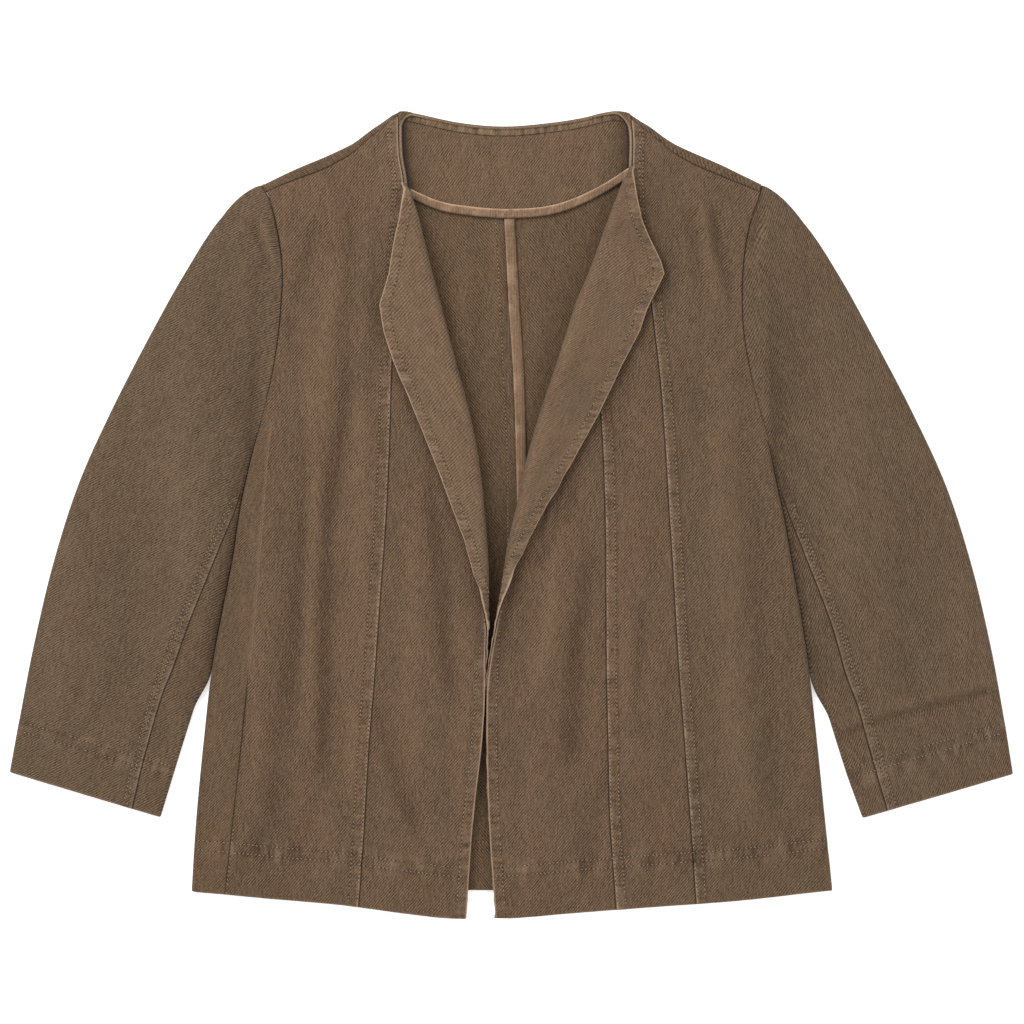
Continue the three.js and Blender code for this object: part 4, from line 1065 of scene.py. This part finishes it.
def neck_tape():
    """Tan tape on the neck facing's lower edge, its upper edge stitched down."""
    left, right = TAPE_REACH
    x = np.linspace(left, right, 150)[None, :]
    w = np.linspace(0, 1, 9)[:, None]
    base = NECK_REST + CLOTH / 2 + 0.35 + TAPE / 2
    y = neck_lower(x) - 0.6 + (1 - w) * TAPE_WIDTH
    climb = front_height(LEFT, -83 + 0 * x, y) - TAPE_UNDER - NECK_REST
    lift_left = smooth((-73 - x) / TAPE_CLIMB)**1.5 * climb
    climb = front_height(RIGHT, 87 + 0 * x, y) - TAPE_UNDER - NECK_REST
    lift_right = smooth((x - 77) / TAPE_CLIMB)**1.5 * climb
    z = base + lift_left + lift_right + 0.25 * np.sin(np.pi * w) + 0.1 * noise(x, w, 4, 33)
    # Painted shadow along the tape's lower edge.
    wear_and_highlight = 1.6 * hump(w, 0.13) + 0.4 * noise(x + 5 * w, w * 3, 4, 34)
    return shell("neck_tape_cloth", np.stack([x + 0 * w, y, z], -1), wall=TAPE,
                 marks=marks_of(0 * z, wear_and_highlight, hump(1 - w, 0.12), 0))


def centre_tape():
    """Tan tape down the centre back seam."""
    y = np.linspace(222, -276, 260)[:, None]
    w = np.linspace(0, 1, 9)[None, :]
    x = mix(curve(BACK_TAPE, "y", "left")(y), curve(BACK_TAPE, "y", "right")(y), w)
    z = REST + 0.6 + CLOTH + 0.55 + TAPE / 2 + 0.3 * np.sin(np.pi * w) + 0.12 * noise(x, y, 5, 35)
    wear_and_highlight = 0.8 * hump(w, 0.12) + 0.3 * noise(w * 3, y, 5, 36)
    # Painted shadow line near the tape's right edge.
    dark = 0.5 * hump(w, 0.08, 0.82)
    return shell("centre_back_tape_cloth", np.stack([x, y + 0 * x, z], -1), wall=TAPE,
                 marks=marks_of(0 * z, wear_and_highlight, dark, 0))


UNDER_SEAM = 0.35    # where the second seam lies underneath, as a share of the width
FOLD_ANGLES = (65, 45, 30, 15, 6)       # columns round a sleeve's folded edge, in degrees
UNDER_COLUMNS = (0.15, 0.3, 0.45, 0.6, 0.72, 0.82, 0.9, 0.95, 0.98, 1)
UPPER_COLUMNS = np.linspace(0.08, 0.94, 34)
SLEEVE_FULL = 2.2    # how much higher a sleeve stands in the middle than at its folds
CAP_FULL = 3.4       # fullness of a sleeve's head
UNDER_GAP = 0.001    # how far each part stops short of it
TURNED_GRAIN = np.array([0.94, 0.34])   # a sleeve's grain is turned by about 20 degrees


def sleeve(stations, side, table, name, seed):
    """Upper and under part of a flattened sleeve. A place round it is named by how far
    it lies in from the inner edge, on top or underneath."""
    s = -side.to_centre
    rows = np.linspace(0, LAST_STATION, 190)
    rows = np.unique(np.concatenate([rows, [0.01, 0.025, 8.992, 8.98]]))
    flat = [dict(k=k, seam=r["seam"], ox=r["outer"][0], oy=r["outer"][1],
                 ix=r["inner"][0], iy=r["inner"][1]) for k, r in enumerate(stations)]
    at = {key: curve(flat, "k", key)(rows)[:, None] for key in ("ox", "oy", "ix", "iy", "seam")}
    width = np.hypot(at["ox"] - at["ix"], at["oy"] - at["iy"])
    rows = rows[:, None]
    fold = (LIE - REST) / 2

    def place(inner, upper_side):
        inset = 0.2 * smooth(rows * 2) + 0.3 * smooth(rows - 7)
        w = (inset + inner * (1 - 2 * inset / width)) / width
        y = mix(at["iy"], at["oy"], w)
        x = mix(at["ix"], at["ox"], w)
        first_y = mix(at["iy"][0], at["oy"][0], w)
        bow = side.side(first_y) - mix(at["ix"][0], at["ox"][0], w)
        x = x + bow * (1 - smooth(rows / 1.6))
        y = y + CAP_FULL * np.clip(w, 0, 1)**3 * np.sin(np.pi * np.clip(rows, 0, 1)**0.75)
        beside = side.side(at["iy"]) + s * 0.45 - at["ix"]
        x = x + beside * np.clip(1 - w, 0, 1)**5 * smooth(rows) * smooth((7.2 - rows) / 0.8)
        x = x + s * 0.25 * (1 - smooth(rows))
        end = smooth(rows * 1.3) * smooth((9.6 - rows) / 2.5)
        full = SLEEVE_FULL * np.sin(np.pi * np.clip(w, 0, 1))**0.8 * end
        dip = seam_dip(rows * STATION_MM, 0.4, 1.2)
        top = LIE + full
        half = (top - REST) / 2
        from_fold = np.clip(np.minimum(inner, width - inner) / half, 0, 1)
        bulge = np.sqrt(np.maximum(0, 1 - (1 - from_fold)**2))
        z = REST + half + half * bulge * (1 if upper_side else -1)
        if upper_side:
            calm = smooth(np.minimum(inner, width - inner) / 12)
            z = z + calm * (folds(table, x, y) + 0.3 * noise(x, y * 0.6, 14, seed)) + dip
            z = z + calm * 0.15 * noise(x, y, 6, seed + 1)
        return np.stack([x, y, z], -1)

    run = np.concatenate([[[0]], np.hypot(np.diff(at["ox"], axis=0), np.diff(at["oy"], axis=0))])
    run = np.cumsum(run, axis=0)
    to_cuff = run[-1] - run
    pieces = []

    # Columns: how far in from the inner edge, from the sleeve's width w and the place q
    # of its seam, and whether on the upper side.
    upper = [(lambda w, q, mm=mm: q + SEAM + mm, True) for mm in FINE]
    upper += [(lambda w, q, t=t: np.maximum(t * w, q + SEAM + FINE[-1] + 40 * (t - 0.07)), True)
              for t in UPPER_COLUMNS]
    arc = [fold * (1 - math.cos(math.radians(a))) for a in FOLD_ANGLES]
    upper += [(lambda w, q, c=c: w - c, True) for c in arc]
    upper += [(lambda w, q: w, True)]
    upper += [(lambda w, q, c=c: w - c, False) for c in reversed(arc)]
    upper += [(lambda w, q, t=t: t * w, False) for t in np.linspace(0.95, UNDER_SEAM + UNDER_GAP, 14)]
    under = [(lambda w, q, t=t: t * w, False) for t in np.linspace(UNDER_SEAM - UNDER_GAP, 0.08, 8)]
    under += [(lambda w, q, c=c: c, False) for c in arc]
    under += [(lambda w, q: 0 * w, True)]
    under += [(lambda w, q, c=c: np.minimum(c, (q - SEAM) * 0.6), True) for c in reversed(arc)]
    under += [(lambda w, q, t=t: mix(np.minimum(arc[0], (q - SEAM) * 0.6), q - SEAM, t), True)
              for t in UNDER_COLUMNS]
    for part, spec in (("upper", upper), ("under", under)):
        strips = []
        edge = []
        on_top = []
        for offset, upper_side in spec:
            inner = offset(width, at["seam"]) + 0 * width
            strips.append(place(inner, upper_side))
            edge.append(np.abs(inner - at["seam"]) - SEAM + (0 if upper_side else FAR))
            on_top.append(np.full(inner.shape, float(upper_side)))
        grid = np.stack(strips, 1)[:, :, 0, :]
        edge = np.concatenate(edge, 1)
        on_top = np.concatenate(on_top, 1)
        x, y = grid[..., 0], grid[..., 1]
        fade = smooth((rows - 2.6) / 1.2)
        kind = "band" if part == "upper" else "plain"
        along = rows * 50 + 0 * edge
        d = np.where(fade > 0.02, edge, FAR)
        dz, wear_and_highlight, dark, flat = dress(x, along, [(d, kind)], None, seed + 5)
        dz, wear_and_highlight = dz * fade * on_top, wear_and_highlight * fade * 0.4
        hem_d = to_cuff + 0 * edge
        for row in (HEM_DEPTH, HEM_TWIN):
            near = hump(hem_d, ROW_SPREAD, row) * on_top
            puckers = noise(edge, hem_d * DRAWN, 3.0, seed + 8) + 0.5 * noise(edge, y, 7, 9)
            rucks = 0.5 * near * puckers
            # Painted highlight on pucker crests and painted shade in their troughs.
            dz, wear_and_highlight = dz + rucks, wear_and_highlight + rucks * 0.9
            dark = dark + 0.3 * hump(hem_d, 1.2, row) + 0.6 * np.maximum(-rucks, 0)
        dz = dz + 0.4 * band(hem_d, HEM_DEPTH) * on_top
        wear_and_highlight = wear_and_highlight + 0.7 * hump(hem_d, 0.9)
        dark = dark + hump(rows * STATION_MM, LINE)
        grid[..., 2] += dz
        # Painted shade on the sleeve beside the body, which lies over it, and painted light and shade on
        # the sleeve's folds.
        from_body = np.abs(x - at["ix"])
        shade = 2.6 * np.exp(-from_body / 7) * smooth((rows - 0.3) / 1.2) * smooth((7.4 - rows) / 1.5)
        tone_and_shade = (folds(table, x, y) * 0.8 - shade) * on_top
        dark = dark + 0.22 * shade * np.exp(-from_body / 5) * on_top
        along_grain, across_grain = TURNED_GRAIN
        turned = np.array([[along_grain, -across_grain * s], [across_grain * s, along_grain]])
        uv = np.stack([x - s * (grid[..., 2] - LIE), y], -1) @ turned
        pieces.append(shell(f"{name}_{part}_cloth", grid, uv=uv,
                            marks=marks_of(tone_and_shade, wear_and_highlight, dark, flat)))
    return pieces


STITCH_DRIFT = 0.22  # each end of a stitch strays at most this far
STITCH_LOST = 0.12   # share of stitches that are worn away or sunk out of sight
STITCH_SUNK = 0.25   # how deep the ends of a stitch go into the cloth
STITCH_RINGS = ((0.12, 0.7), (0.5, 1.0), (0.88, 0.7))   # place along it, share of its radius


def stitches(name, targets, lines, length, radius, phase, material):
    """Threads of a stitched row: one small bead each, laid on the cloth below it."""
    graph = bpy.context.evaluated_depsgraph_get()
    trees = [BVHTree.FromObject(target, graph) for target in targets]

    def height(x, y):
        best = None
        for tree in trees:
            hit = tree.ray_cast(Vector((x * MM, y * MM, 0.08)), Vector((0, 0, -1)))
            if hit[0] is not None and (best is None or hit[0].z > best):
                best = hit[0].z
        return None if best is None else best / MM
    turn = np.radians(np.arange(0, 360, 60))
    points, faces = [], []
    for number, line in enumerate(lines):
        line = np.array(line, float)
        run = np.concatenate([[0], np.cumsum(np.hypot(*np.diff(line, axis=0).T))])
        vary = np.random.default_rng(900 + number)
        s = phase * STITCH
        while s + length < run[-1]:
            long = length * vary.uniform(0.75, 1.2)
            ends = [np.array([np.interp(v, run, line[:, k]) for k in (0, 1)]) for v in (s, s + long)]
            ends = [end + vary.uniform(-STITCH_DRIFT, STITCH_DRIFT, 2) for end in ends]
            s += STITCH * vary.uniform(0.9, 1.1)
            if vary.uniform() < STITCH_LOST:
                continue
            heights = [height(*end) for end in ends]
            if None in heights or abs(heights[0] - heights[1]) > 1.5:
                continue
            a, b = (np.append(end, z) for end, z in zip(ends, heights))
            way = (b - a) / np.linalg.norm(b - a)
            side = np.cross((0, 0, 1), way)
            side = side / np.linalg.norm(side)
            first = len(points)
            points.append(a - (0, 0, STITCH_SUNK))
            for t, r in STITCH_RINGS:
                centre = a + (b - a) * t + (0, 0, 0.12 * r)
                for v in turn:
                    points.append(centre + radius * r * (side * math.cos(v) + (0, 0, math.sin(v))))
            points.append(b - (0, 0, STITCH_SUNK))
            for k in range(6):
                n = (k + 1) % 6
                faces.append((first, first + 1 + n, first + 1 + k))
                for ring in (1, 7):
                    p, q = first + ring + k, first + ring + n
                    faces.append((p, q, q + 6))
                    faces.append((p, q + 6, p + 6))
                faces.append((first + 13 + k, first + 13 + n, first + 19))
    points = np.array(points)
    obj = make_object(name, points, np.array(faces), points[:, :2], np.zeros((len(points), 4)))
    obj.data.materials.append(material)
    return obj


def along_y(f, low, high):
    return [(float(f(y)), float(y)) for y in np.arange(low, high, 2.0)]


def along_x(f, low, high):
    return [(float(x), float(f(x))) for x in np.arange(low, high, 2.0)]


def beside(line, gap, low, high):
    """A stitched row that far to the viewer's right of a line, from y low to high."""
    return along_y(moved(line, gap), low, high)


def put(node, **values):
    """Values on a node's own sockets, whose names have underscores here for spaces."""
    for name, value in values.items():
        node.inputs[name.replace("_", " ")].default_value = value


class Weave:
    """Builds a cloth material: a fine twill with patches, worn edges and dark seams, and the painted
    light and shade that its marks carry.
    """

    def __init__(self, name, colour, angle, light=1.0, wale=1.65, grain=1.05):
        self.material = bpy.data.materials.new(name)
        self.material.use_nodes = True
        self.tree = self.material.node_tree
        self.nodes = self.tree.nodes
        self.shader = self.nodes["Principled BSDF"]
        put(self.shader, Roughness=0.94, Specular_IOR_Level=0.12, Sheen_Weight=0.06, Sheen_Roughness=0.5)
        self.build(colour, angle, light, wale, grain)

    def link(self, a, b):
        self.tree.links.new(a, b)

    def math(self, kind, a, b=None, clamp=False):
        node = self.nodes.new("ShaderNodeMath")
        node.operation = kind
        node.use_clamp = clamp
        for socket, value in zip(node.inputs, (a, b)):
            if value is None:
                continue
            if isinstance(value, (int, float)):
                socket.default_value = value
            else:
                self.link(value, socket)
        return node.outputs[0]

    def noise(self, vector, scale, detail=3.0, rough=0.55):
        node = self.nodes.new("ShaderNodeTexNoise")
        put(node, Scale=scale, Detail=detail, Roughness=rough)
        self.link(vector, node.inputs["Vector"])
        return node.outputs["Fac"]

    def mapped(self, vector, angle, scale):
        node = self.nodes.new("ShaderNodeMapping")
        node.inputs["Rotation"].default_value[2] = math.radians(angle)
        put(node, Scale=scale)
        self.link(vector, node.inputs["Vector"])
        return node.outputs["Vector"]

    def waves(self, vector, wavelength, distortion, detail_scale):
        """Wales across u, one every wavelength (in centimetres of cloth)."""
        node = self.nodes.new("ShaderNodeTexWave")
        node.wave_type = "BANDS"
        node.bands_direction = "X"
        put(node, Scale=2 * math.pi / (20 * wavelength), Distortion=distortion, Detail=2.0,
            Detail_Scale=detail_scale)
        self.link(vector, node.inputs["Vector"])
        return node.outputs["Fac"]

    def blend(self, a, colour, factor, kind="MIX"):
        node = self.nodes.new("ShaderNodeMix")
        node.data_type = "RGBA"
        node.blend_type = kind
        self.link(factor, node.inputs["Factor"])
        if isinstance(a, tuple):
            node.inputs["A"].default_value = (*a, 1)
        else:
            self.link(a, node.inputs["A"])
        node.inputs["B"].default_value = (*colour, 1)
        return node.outputs["Result"]

    def total(self, *parts):
        out = parts[0]
        for part in parts[1:]:
            out = self.math("ADD", out, part)
        return out

    def around(self, value, strength):
        """A value between 0 and 1, as a swing about nothing."""
        return self.math("MULTIPLY", self.math("SUBTRACT", value, 0.5), strength)

    def build(self, colour, angle, light, wale, coarse):
        """Colour from grain, patches and marks, and a small bump from the grain. Noise
        stretched along u or v stands for yarns and for pleats drawn in by stitching. The
        pleats' light and dark in the colour is painted light and shade."""
        place = self.nodes.new("ShaderNodeUVMap")
        place.uv_map = "cloth"
        flat = place.outputs["UV"]
        marks = self.nodes.new("ShaderNodeAttribute")
        marks.attribute_name = "marks"
        split = self.nodes.new("ShaderNodeSeparateColor")
        self.link(marks.outputs["Color"], split.inputs["Color"])
        tone_and_shade, wear_and_highlight, dark = (split.outputs[k] for k in ("Red", "Green", "Blue"))
        stitched = marks.outputs["Alpha"]
        wales = self.waves(self.mapped(flat, angle, (1, 1, 1)), wale * 0.01, 2.6, 2.2)
        fine = self.waves(self.mapped(flat, angle + 90, (1, 1, 1)), wale * 0.006, 3.0, 2.5)
        yarn = self.noise(self.mapped(flat, 90, (70, 16, 1)), 1.0, 2.0)
        weft = self.noise(self.mapped(flat, 0, (70, 20, 1)), 1.0, 2.0)
        along = self.noise(self.mapped(flat, angle, (72, 12, 1)), 1.0, 2.0)
        patch = self.noise(flat, 9.0, 3.0)
        cloud = self.noise(self.mapped(flat, 0, (3.4, 1.5, 1)), 1.0, 4.0)
        broad = self.noise(self.mapped(flat, 0, (9.0, 2.6, 1)), 1.0, 3.0)
        speck = self.noise(flat, 62.0, 3.0, 0.7)
        pleat_v = self.noise(self.mapped(flat, 0, (7, 44, 1)), 1.0, 3.0)
        pleat_u = self.noise(self.mapped(flat, 0, (44, 7, 1)), 1.0, 3.0)
        down = self.math("MULTIPLY", stitched, 1.0, True)
        across = self.math("MULTIPLY", stitched, -1.0, True)
        pleats = self.total(self.math("MULTIPLY", self.around(pleat_v, 2.4), down),
                            self.math("MULTIPLY", self.around(pleat_u, 2.4), across))
        strength = self.math("MULTIPLY", self.math("SUBTRACT", patch, 0.22, True), 3.2)
        ridge = self.math("MULTIPLY", self.around(wales, 1.25), strength)
        grain = self.total(ridge, self.around(speck, 2.6), self.around(yarn, 0.6),
                           self.around(weft, 0.6), self.around(along, 1.6), self.around(fine, 0.15))
        relief = self.total(grain, self.math("MULTIPLY", pleats, 2.5))
        base = tuple(c * light for c in colour)
        # The light and dark colours that the grain swings between also carry the painted light and shade
        # of the tone mark and of the pleats.
        light_thread = tuple(c * 1.7 for c in base)
        dark_grain_and_shade = tuple(c * 0.38 for c in base)
        red = (base[0] * 1.05, base[1] * 0.985, base[2] * 0.97)
        olive = (base[0] * 0.94, base[1] * 0.985, base[2] * 0.98)
        warm = self.math("MULTIPLY_ADD", cloud, 3.0, True)
        warm.node.inputs[2].default_value = -1.0
        out = self.blend(olive, red, warm)
        grain_and_shading = self.total(self.math("MULTIPLY", grain, coarse), self.around(broad, 0.75),
                           self.math("MULTIPLY", pleats, 1.1), self.math("MULTIPLY", tone_and_shade, 0.22))
        out = self.blend(out, light_thread, self.math("MULTIPLY", grain_and_shading, 1.0, True))
        out = self.blend(out, dark_grain_and_shade, self.math("MULTIPLY", grain_and_shading, -1.0, True))
        speckled = self.math("MULTIPLY_ADD", speck, 1.2)
        speckled.node.inputs[2].default_value = 0.3
        worn = self.math("MULTIPLY", wear_and_highlight, speckled)
        # Lighter by the wear mark: worn edges, and painted highlights on puckers and pleats.
        out = self.blend(out, tuple(c * 2.3 + 0.03 for c in base), self.math("MULTIPLY", worn, 0.8, True))
        # Darker by the dark mark: painted shade in seams, troughs, corners and under edges, and dark rows
        # of stitching.
        out = self.blend(out, tuple(c * 0.2 for c in base), self.math("MULTIPLY", dark, 0.75, True))
        self.link(out, self.shader.inputs["Base Color"])
        bump = self.nodes.new("ShaderNodeBump")
        put(bump, Strength=0.6, Distance=0.0003)
        self.link(relief, bump.inputs["Height"])
        self.link(bump.outputs["Normal"], self.shader.inputs["Normal"])


def linear(red, green, blue):
    """A colour given as screen numbers from 0 to 255, as linear light."""
    values = []
    for c in (red, green, blue):
        c = c / 255
        values.append(c / 12.92 if c <= 0.04045 else ((c + 0.055) / 1.055)**2.4)
    return tuple(values)


LOOKS = {
    "front_cloth": dict(colour=linear(116, 93, 73), angle=40, light=0.61),
    "side_cloth": dict(colour=linear(113, 92, 72), angle=40, light=0.61),
    "lapel_cloth": dict(colour=linear(124, 101, 80), angle=56, light=0.645, grain=0.8),
    "back_cloth": dict(colour=linear(108, 87, 67), angle=40, light=0.66),
    "neck_cloth": dict(colour=linear(121, 98, 77), angle=36, light=0.61, grain=0.92),
    "sleeve_cloth": dict(colour=linear(113, 93, 73.5), angle=42, light=0.61),
    "bias_tape": dict(colour=linear(144, 116, 92), angle=0, wale=1.2, light=0.66, grain=0.7),
}
NODE_SLOT = {
    "back_left": "back_cloth", "back_right": "back_cloth", "neck_facing": "neck_cloth",
    "neck_tape": "bias_tape", "centre_back_tape": "bias_tape",
    "front_left_side": "front_cloth", "front_left_centre": "front_cloth",
    "facing_left": "lapel_cloth", "front_right_side": "side_cloth",
    "front_right_mid": "front_cloth", "front_right_centre": "front_cloth",
    "facing_right": "lapel_cloth", "sleeve_left_upper": "sleeve_cloth",
    "sleeve_left_under": "side_cloth", "sleeve_right_upper": "sleeve_cloth",
    "sleeve_right_under": "side_cloth",
}

looks = {name: Weave(name, **spec).material for name, spec in LOOKS.items()}

made = [
    back_half(LEFT, "back_left", True),
    back_half(RIGHT, "back_right", False),
    neck_facing(),
    neck_tape(),
    centre_tape(),
    side_left(),
    *centre_and_facing(LEFT, LEFT_LAPEL_TOP, "front_left", 500),
    side_right(),
    middle_right(),
    *centre_and_facing(RIGHT, RIGHT_LAPEL_TOP, "front_right", 600),
    *sleeve(LEFT_SLEEVE, LEFT, LEFT_SLEEVE_FOLDS, "sleeve_left", 700),
    *sleeve(RIGHT_SLEEVE, RIGHT, RIGHT_SLEEVE_FOLDS, "sleeve_right", 800),
]
for obj in made:
    node = obj.name[:-len("_cloth")]
    obj.data.materials.append(looks[NODE_SLOT[node]])
    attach(obj, "root")
    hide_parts(node)

piece = {obj.name[:-len("_cloth")]: obj for obj in made}


def sleeve_rows(stations):
    """Stitched rows of a sleeve: two beside its seam and two round the cuff."""
    lines = []
    k = np.linspace(3.2, LAST_STATION, 80)

    def between(values):
        return np.interp(k, range(LAST_STATION + 1), values)
    ox, oy = (between([row["outer"][n] for row in stations]) for n in (0, 1))
    ix, iy = (between([row["inner"][n] for row in stations]) for n in (0, 1))
    seam = between([row["seam"] for row in stations])
    for gap in (4.6, 7.8):
        w = (seam + gap) / np.hypot(ox - ix, oy - iy)
        lines.append(list(zip(mix(ix, ox, w), mix(iy, oy, w))))
    outer = np.array([row["outer"] for row in stations[-2:]], float)
    inner = np.array([row["inner"] for row in stations[-2:]], float)
    for rise in (HEM_DEPTH, HEM_TWIN):
        ends = []
        for pair in (outer, inner):
            way = (pair[0] - pair[1]) / np.linalg.norm(pair[0] - pair[1])
            ends.append(pair[1] + way * rise)
        ends = [mix(ends[0], ends[1], 0.02), mix(ends[0], ends[1], 0.98)]
        lines.append([tuple(mix(ends[0], ends[1], t)) for t in np.linspace(0, 1, 30)])
    return lines


def hem_rows(low, high):
    return [along_x(lambda x, up=up: hem_line(x) + up, low, high) for up in (HEM_DEPTH, HEM_TWIN)]


STITCHED = {
    "thread_left": ("front_cloth", ["back_left", "front_left_side", "front_left_centre"],
                    [beside(LEFT.mid, -1.3, -290, 112),
                     beside(LEFT.mid, -BAND, -290, 124),
                     beside(LEFT.seam, 1.2, -284, -232),
                     beside(LEFT.mid, -5.2, LEFT_BAND_TOP, 296),
                     beside(LEFT.mid, -EDGE_STITCH, LEFT_BAND_TOP, 292),
                     paths["front_left_edge"]] + hem_rows(-238, -34)),
    "thread_right": ("front_cloth", ["front_right_side", "front_right_mid", "front_right_centre"],
                     [beside(RIGHT.mid, 1.3, -292, 78),
                      beside(RIGHT.mid, 7.4, -292, 66),
                      beside(RIGHT.outer, 1.3, -288, 154),
                      beside(RIGHT.outer, 7.4, -288, 164),
                      beside(RIGHT.outer, 5.2, 212, 294),
                      beside(RIGHT.outer, EDGE_STITCH, 200, 292),
                      paths["front_right_edge"]] + hem_rows(-12, 238)),
    "thread_lapels": ("lapel_cloth", ["facing_left", "facing_right"],
                      [paths["front_left_lapel"], paths["front_right_lapel"]]),
    "thread_inside": ("back_cloth", ["back_left", "back_right"],
                      [along_y(lambda y: np.interp(y, [40, 222], [-2.9, -11.8]), -80, 222),
                       along_x(lambda x: BACK_HEM_Y + BACK_DEPTH, -44, 0),
                      along_x(lambda x: BACK_HEM_Y + BACK_TWIN, -44, 0)]),
    "thread_sleeve_left": ("sleeve_cloth", ["sleeve_left_upper", "sleeve_left_under"],
                           sleeve_rows(LEFT_SLEEVE)),
    "thread_sleeve_right": ("sleeve_cloth", ["sleeve_right_upper", "sleeve_right_under"],
                            sleeve_rows(RIGHT_SLEEVE)),
}


def thread_look(name, colour):
    """Sewing thread that varies a little from stitch to stitch."""
    material = bpy.data.materials.new(name)
    material.use_nodes = True
    tree = material.node_tree
    shader = tree.nodes["Principled BSDF"]
    put(shader, Roughness=0.85, Specular_IOR_Level=0.2)
    noise_node = tree.nodes.new("ShaderNodeTexNoise")
    put(noise_node, Scale=700)
    ramp = tree.nodes.new("ShaderNodeValToRGB")
    ramp.color_ramp.elements[0].color = (*(c * 0.6 for c in colour), 1)
    ramp.color_ramp.elements[0].position = 0.3
    ramp.color_ramp.elements[1].color = (*(c * 1.4 for c in colour), 1)
    ramp.color_ramp.elements[1].position = 0.7
    tree.links.new(noise_node.outputs["Fac"], ramp.inputs["Fac"])
    tree.links.new(ramp.outputs["Color"], shader.inputs["Base Color"])
    return material


light_thread = thread_look("thread", linear(142, 121, 99))
# Dark beads set between the light stitches are painted shade of the stitch holes.
stitch_hole_shade = thread_look("sunk thread", linear(60, 47, 36))
STITCH_KINDS = [
    dict(part="", length=1.7, radius=0.33, phase=0.0, material=light_thread),
    dict(part="_sunk", length=1.3, radius=0.36, phase=0.6, material=stitch_hole_shade),
]
for name, (slot, targets, lines) in STITCHED.items():
    under = [piece[target] for target in targets]
    for kind in STITCH_KINDS:
        shape = {key: value for key, value in kind.items() if key != "part"}
        obj = stitches(name + kind["part"], under, lines, **shape)
        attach(obj, "root")

# Floor, light and camera.
floor_mesh = bpy.data.meshes.new("floor")
corners = [(x * 3, y * 3, -0.0005) for x, y in ((-1, -1), (1, -1), (1, 1), (-1, 1))]
floor_mesh.from_pydata(corners, [], [(0, 1, 2, 3)])
floor = bpy.data.objects.new("floor", floor_mesh)
bpy.context.scene.collection.objects.link(floor)
paper = bpy.data.materials.new("paper")
paper.use_nodes = True
put(paper.node_tree.nodes["Principled BSDF"], Base_Color=(0.9, 0.9, 0.9, 1), Roughness=0.9,
    Emission_Color=(1, 1, 1, 1), Emission_Strength=0.4)
floor_mesh.materials.append(paper)

# Flat cut of each piece in metres and square metres, how it is held and what it lies on.
CUTS = table(
    "node flat area held on",
    ("back_left", (0.26, 0.60), 0.125, "folded", ["floor"]),
    ("back_right", (0.25, 0.59), 0.115, "folded", ["floor"]),
    ("neck_facing", (0.185, 0.085), 0.012, "laid", ["back_left", "back_right"]),
    ("neck_tape", (0.010, 0.19), 0.0014, "laid", ["neck_facing"]),
    ("centre_back_tape", (0.010, 0.50), 0.0041, "laid", ["back_left", "back_right"]),
    ("front_left_side", (0.14, 0.595), 0.053, "laid", ["back_left"]),
    ("front_left_centre", (0.12, 0.55), 0.045, "folded", ["back_left"]),
    ("facing_left", (0.10, 0.55), 0.0425, "folded", ["front_left_centre"]),
    ("front_right_side", (0.16, 0.59), 0.054, "folded", ["back_right"]),
    ("front_right_mid", (0.075, 0.505), 0.0247, "laid", ["back_right"]),
    ("front_right_centre", (0.14, 0.56), 0.0465, "folded", ["back_right"]),
    ("facing_right", (0.12, 0.56), 0.044, "folded", ["front_right_centre"]),
    ("sleeve_left_upper", (0.33, 0.47), 0.082, "folded", ["floor"]),
    ("sleeve_left_under", (0.09, 0.36), 0.0193, "folded", ["floor"]),
    ("sleeve_right_upper", (0.33, 0.47), 0.083, "folded", ["floor"]),
    ("sleeve_right_under", (0.09, 0.36), 0.0187, "folded", ["floor"]),
)
for cut in CUTS:
    node = cut["node"]
    rests_on = [floor if name == "floor" else piece[name] for name in cut["on"]]

world = bpy.data.worlds.new("studio")
world.use_nodes = True
put(world.node_tree.nodes["Background"], Color=(1, 1, 1, 1), Strength=0.95)
bpy.context.scene.world = world


def soft_light(name, place, size, power):
    """A square lamp that looks at the middle of the cloth."""
    lamp = bpy.data.lights.new(name, "AREA")
    lamp.shape = "SQUARE"
    lamp.size = size
    lamp.energy = power
    obj = bpy.data.objects.new(name, lamp)
    obj.location = place
    obj.rotation_euler = (Vector((0, 0, 0)) - Vector(place)).to_track_quat("-Z", "Y").to_euler()
    bpy.context.scene.collection.objects.link(obj)


soft_light("key", (-1.0, 1.2, 1.6), 1.0, 30)
soft_light("fill", (1.4, -0.6, 1.8), 1.6, 8)

FRAME_WIDTH = 0.768   # what the picture shows across, in metres at the cloth's height
CLOTH_HEIGHT = 0.004
camera = bpy.data.objects.new("camera", bpy.data.cameras.new("camera"))
camera.data.lens = 100
camera.data.sensor_width = 36
camera.location = (0.0004, 0.0019, FRAME_WIDTH * 100 / 36 + CLOTH_HEIGHT)
camera.data.clip_end = 20
bpy.context.scene.collection.objects.link(camera)
bpy.context.scene.camera = camera
bpy.context.scene.view_settings.view_transform = "Standard"
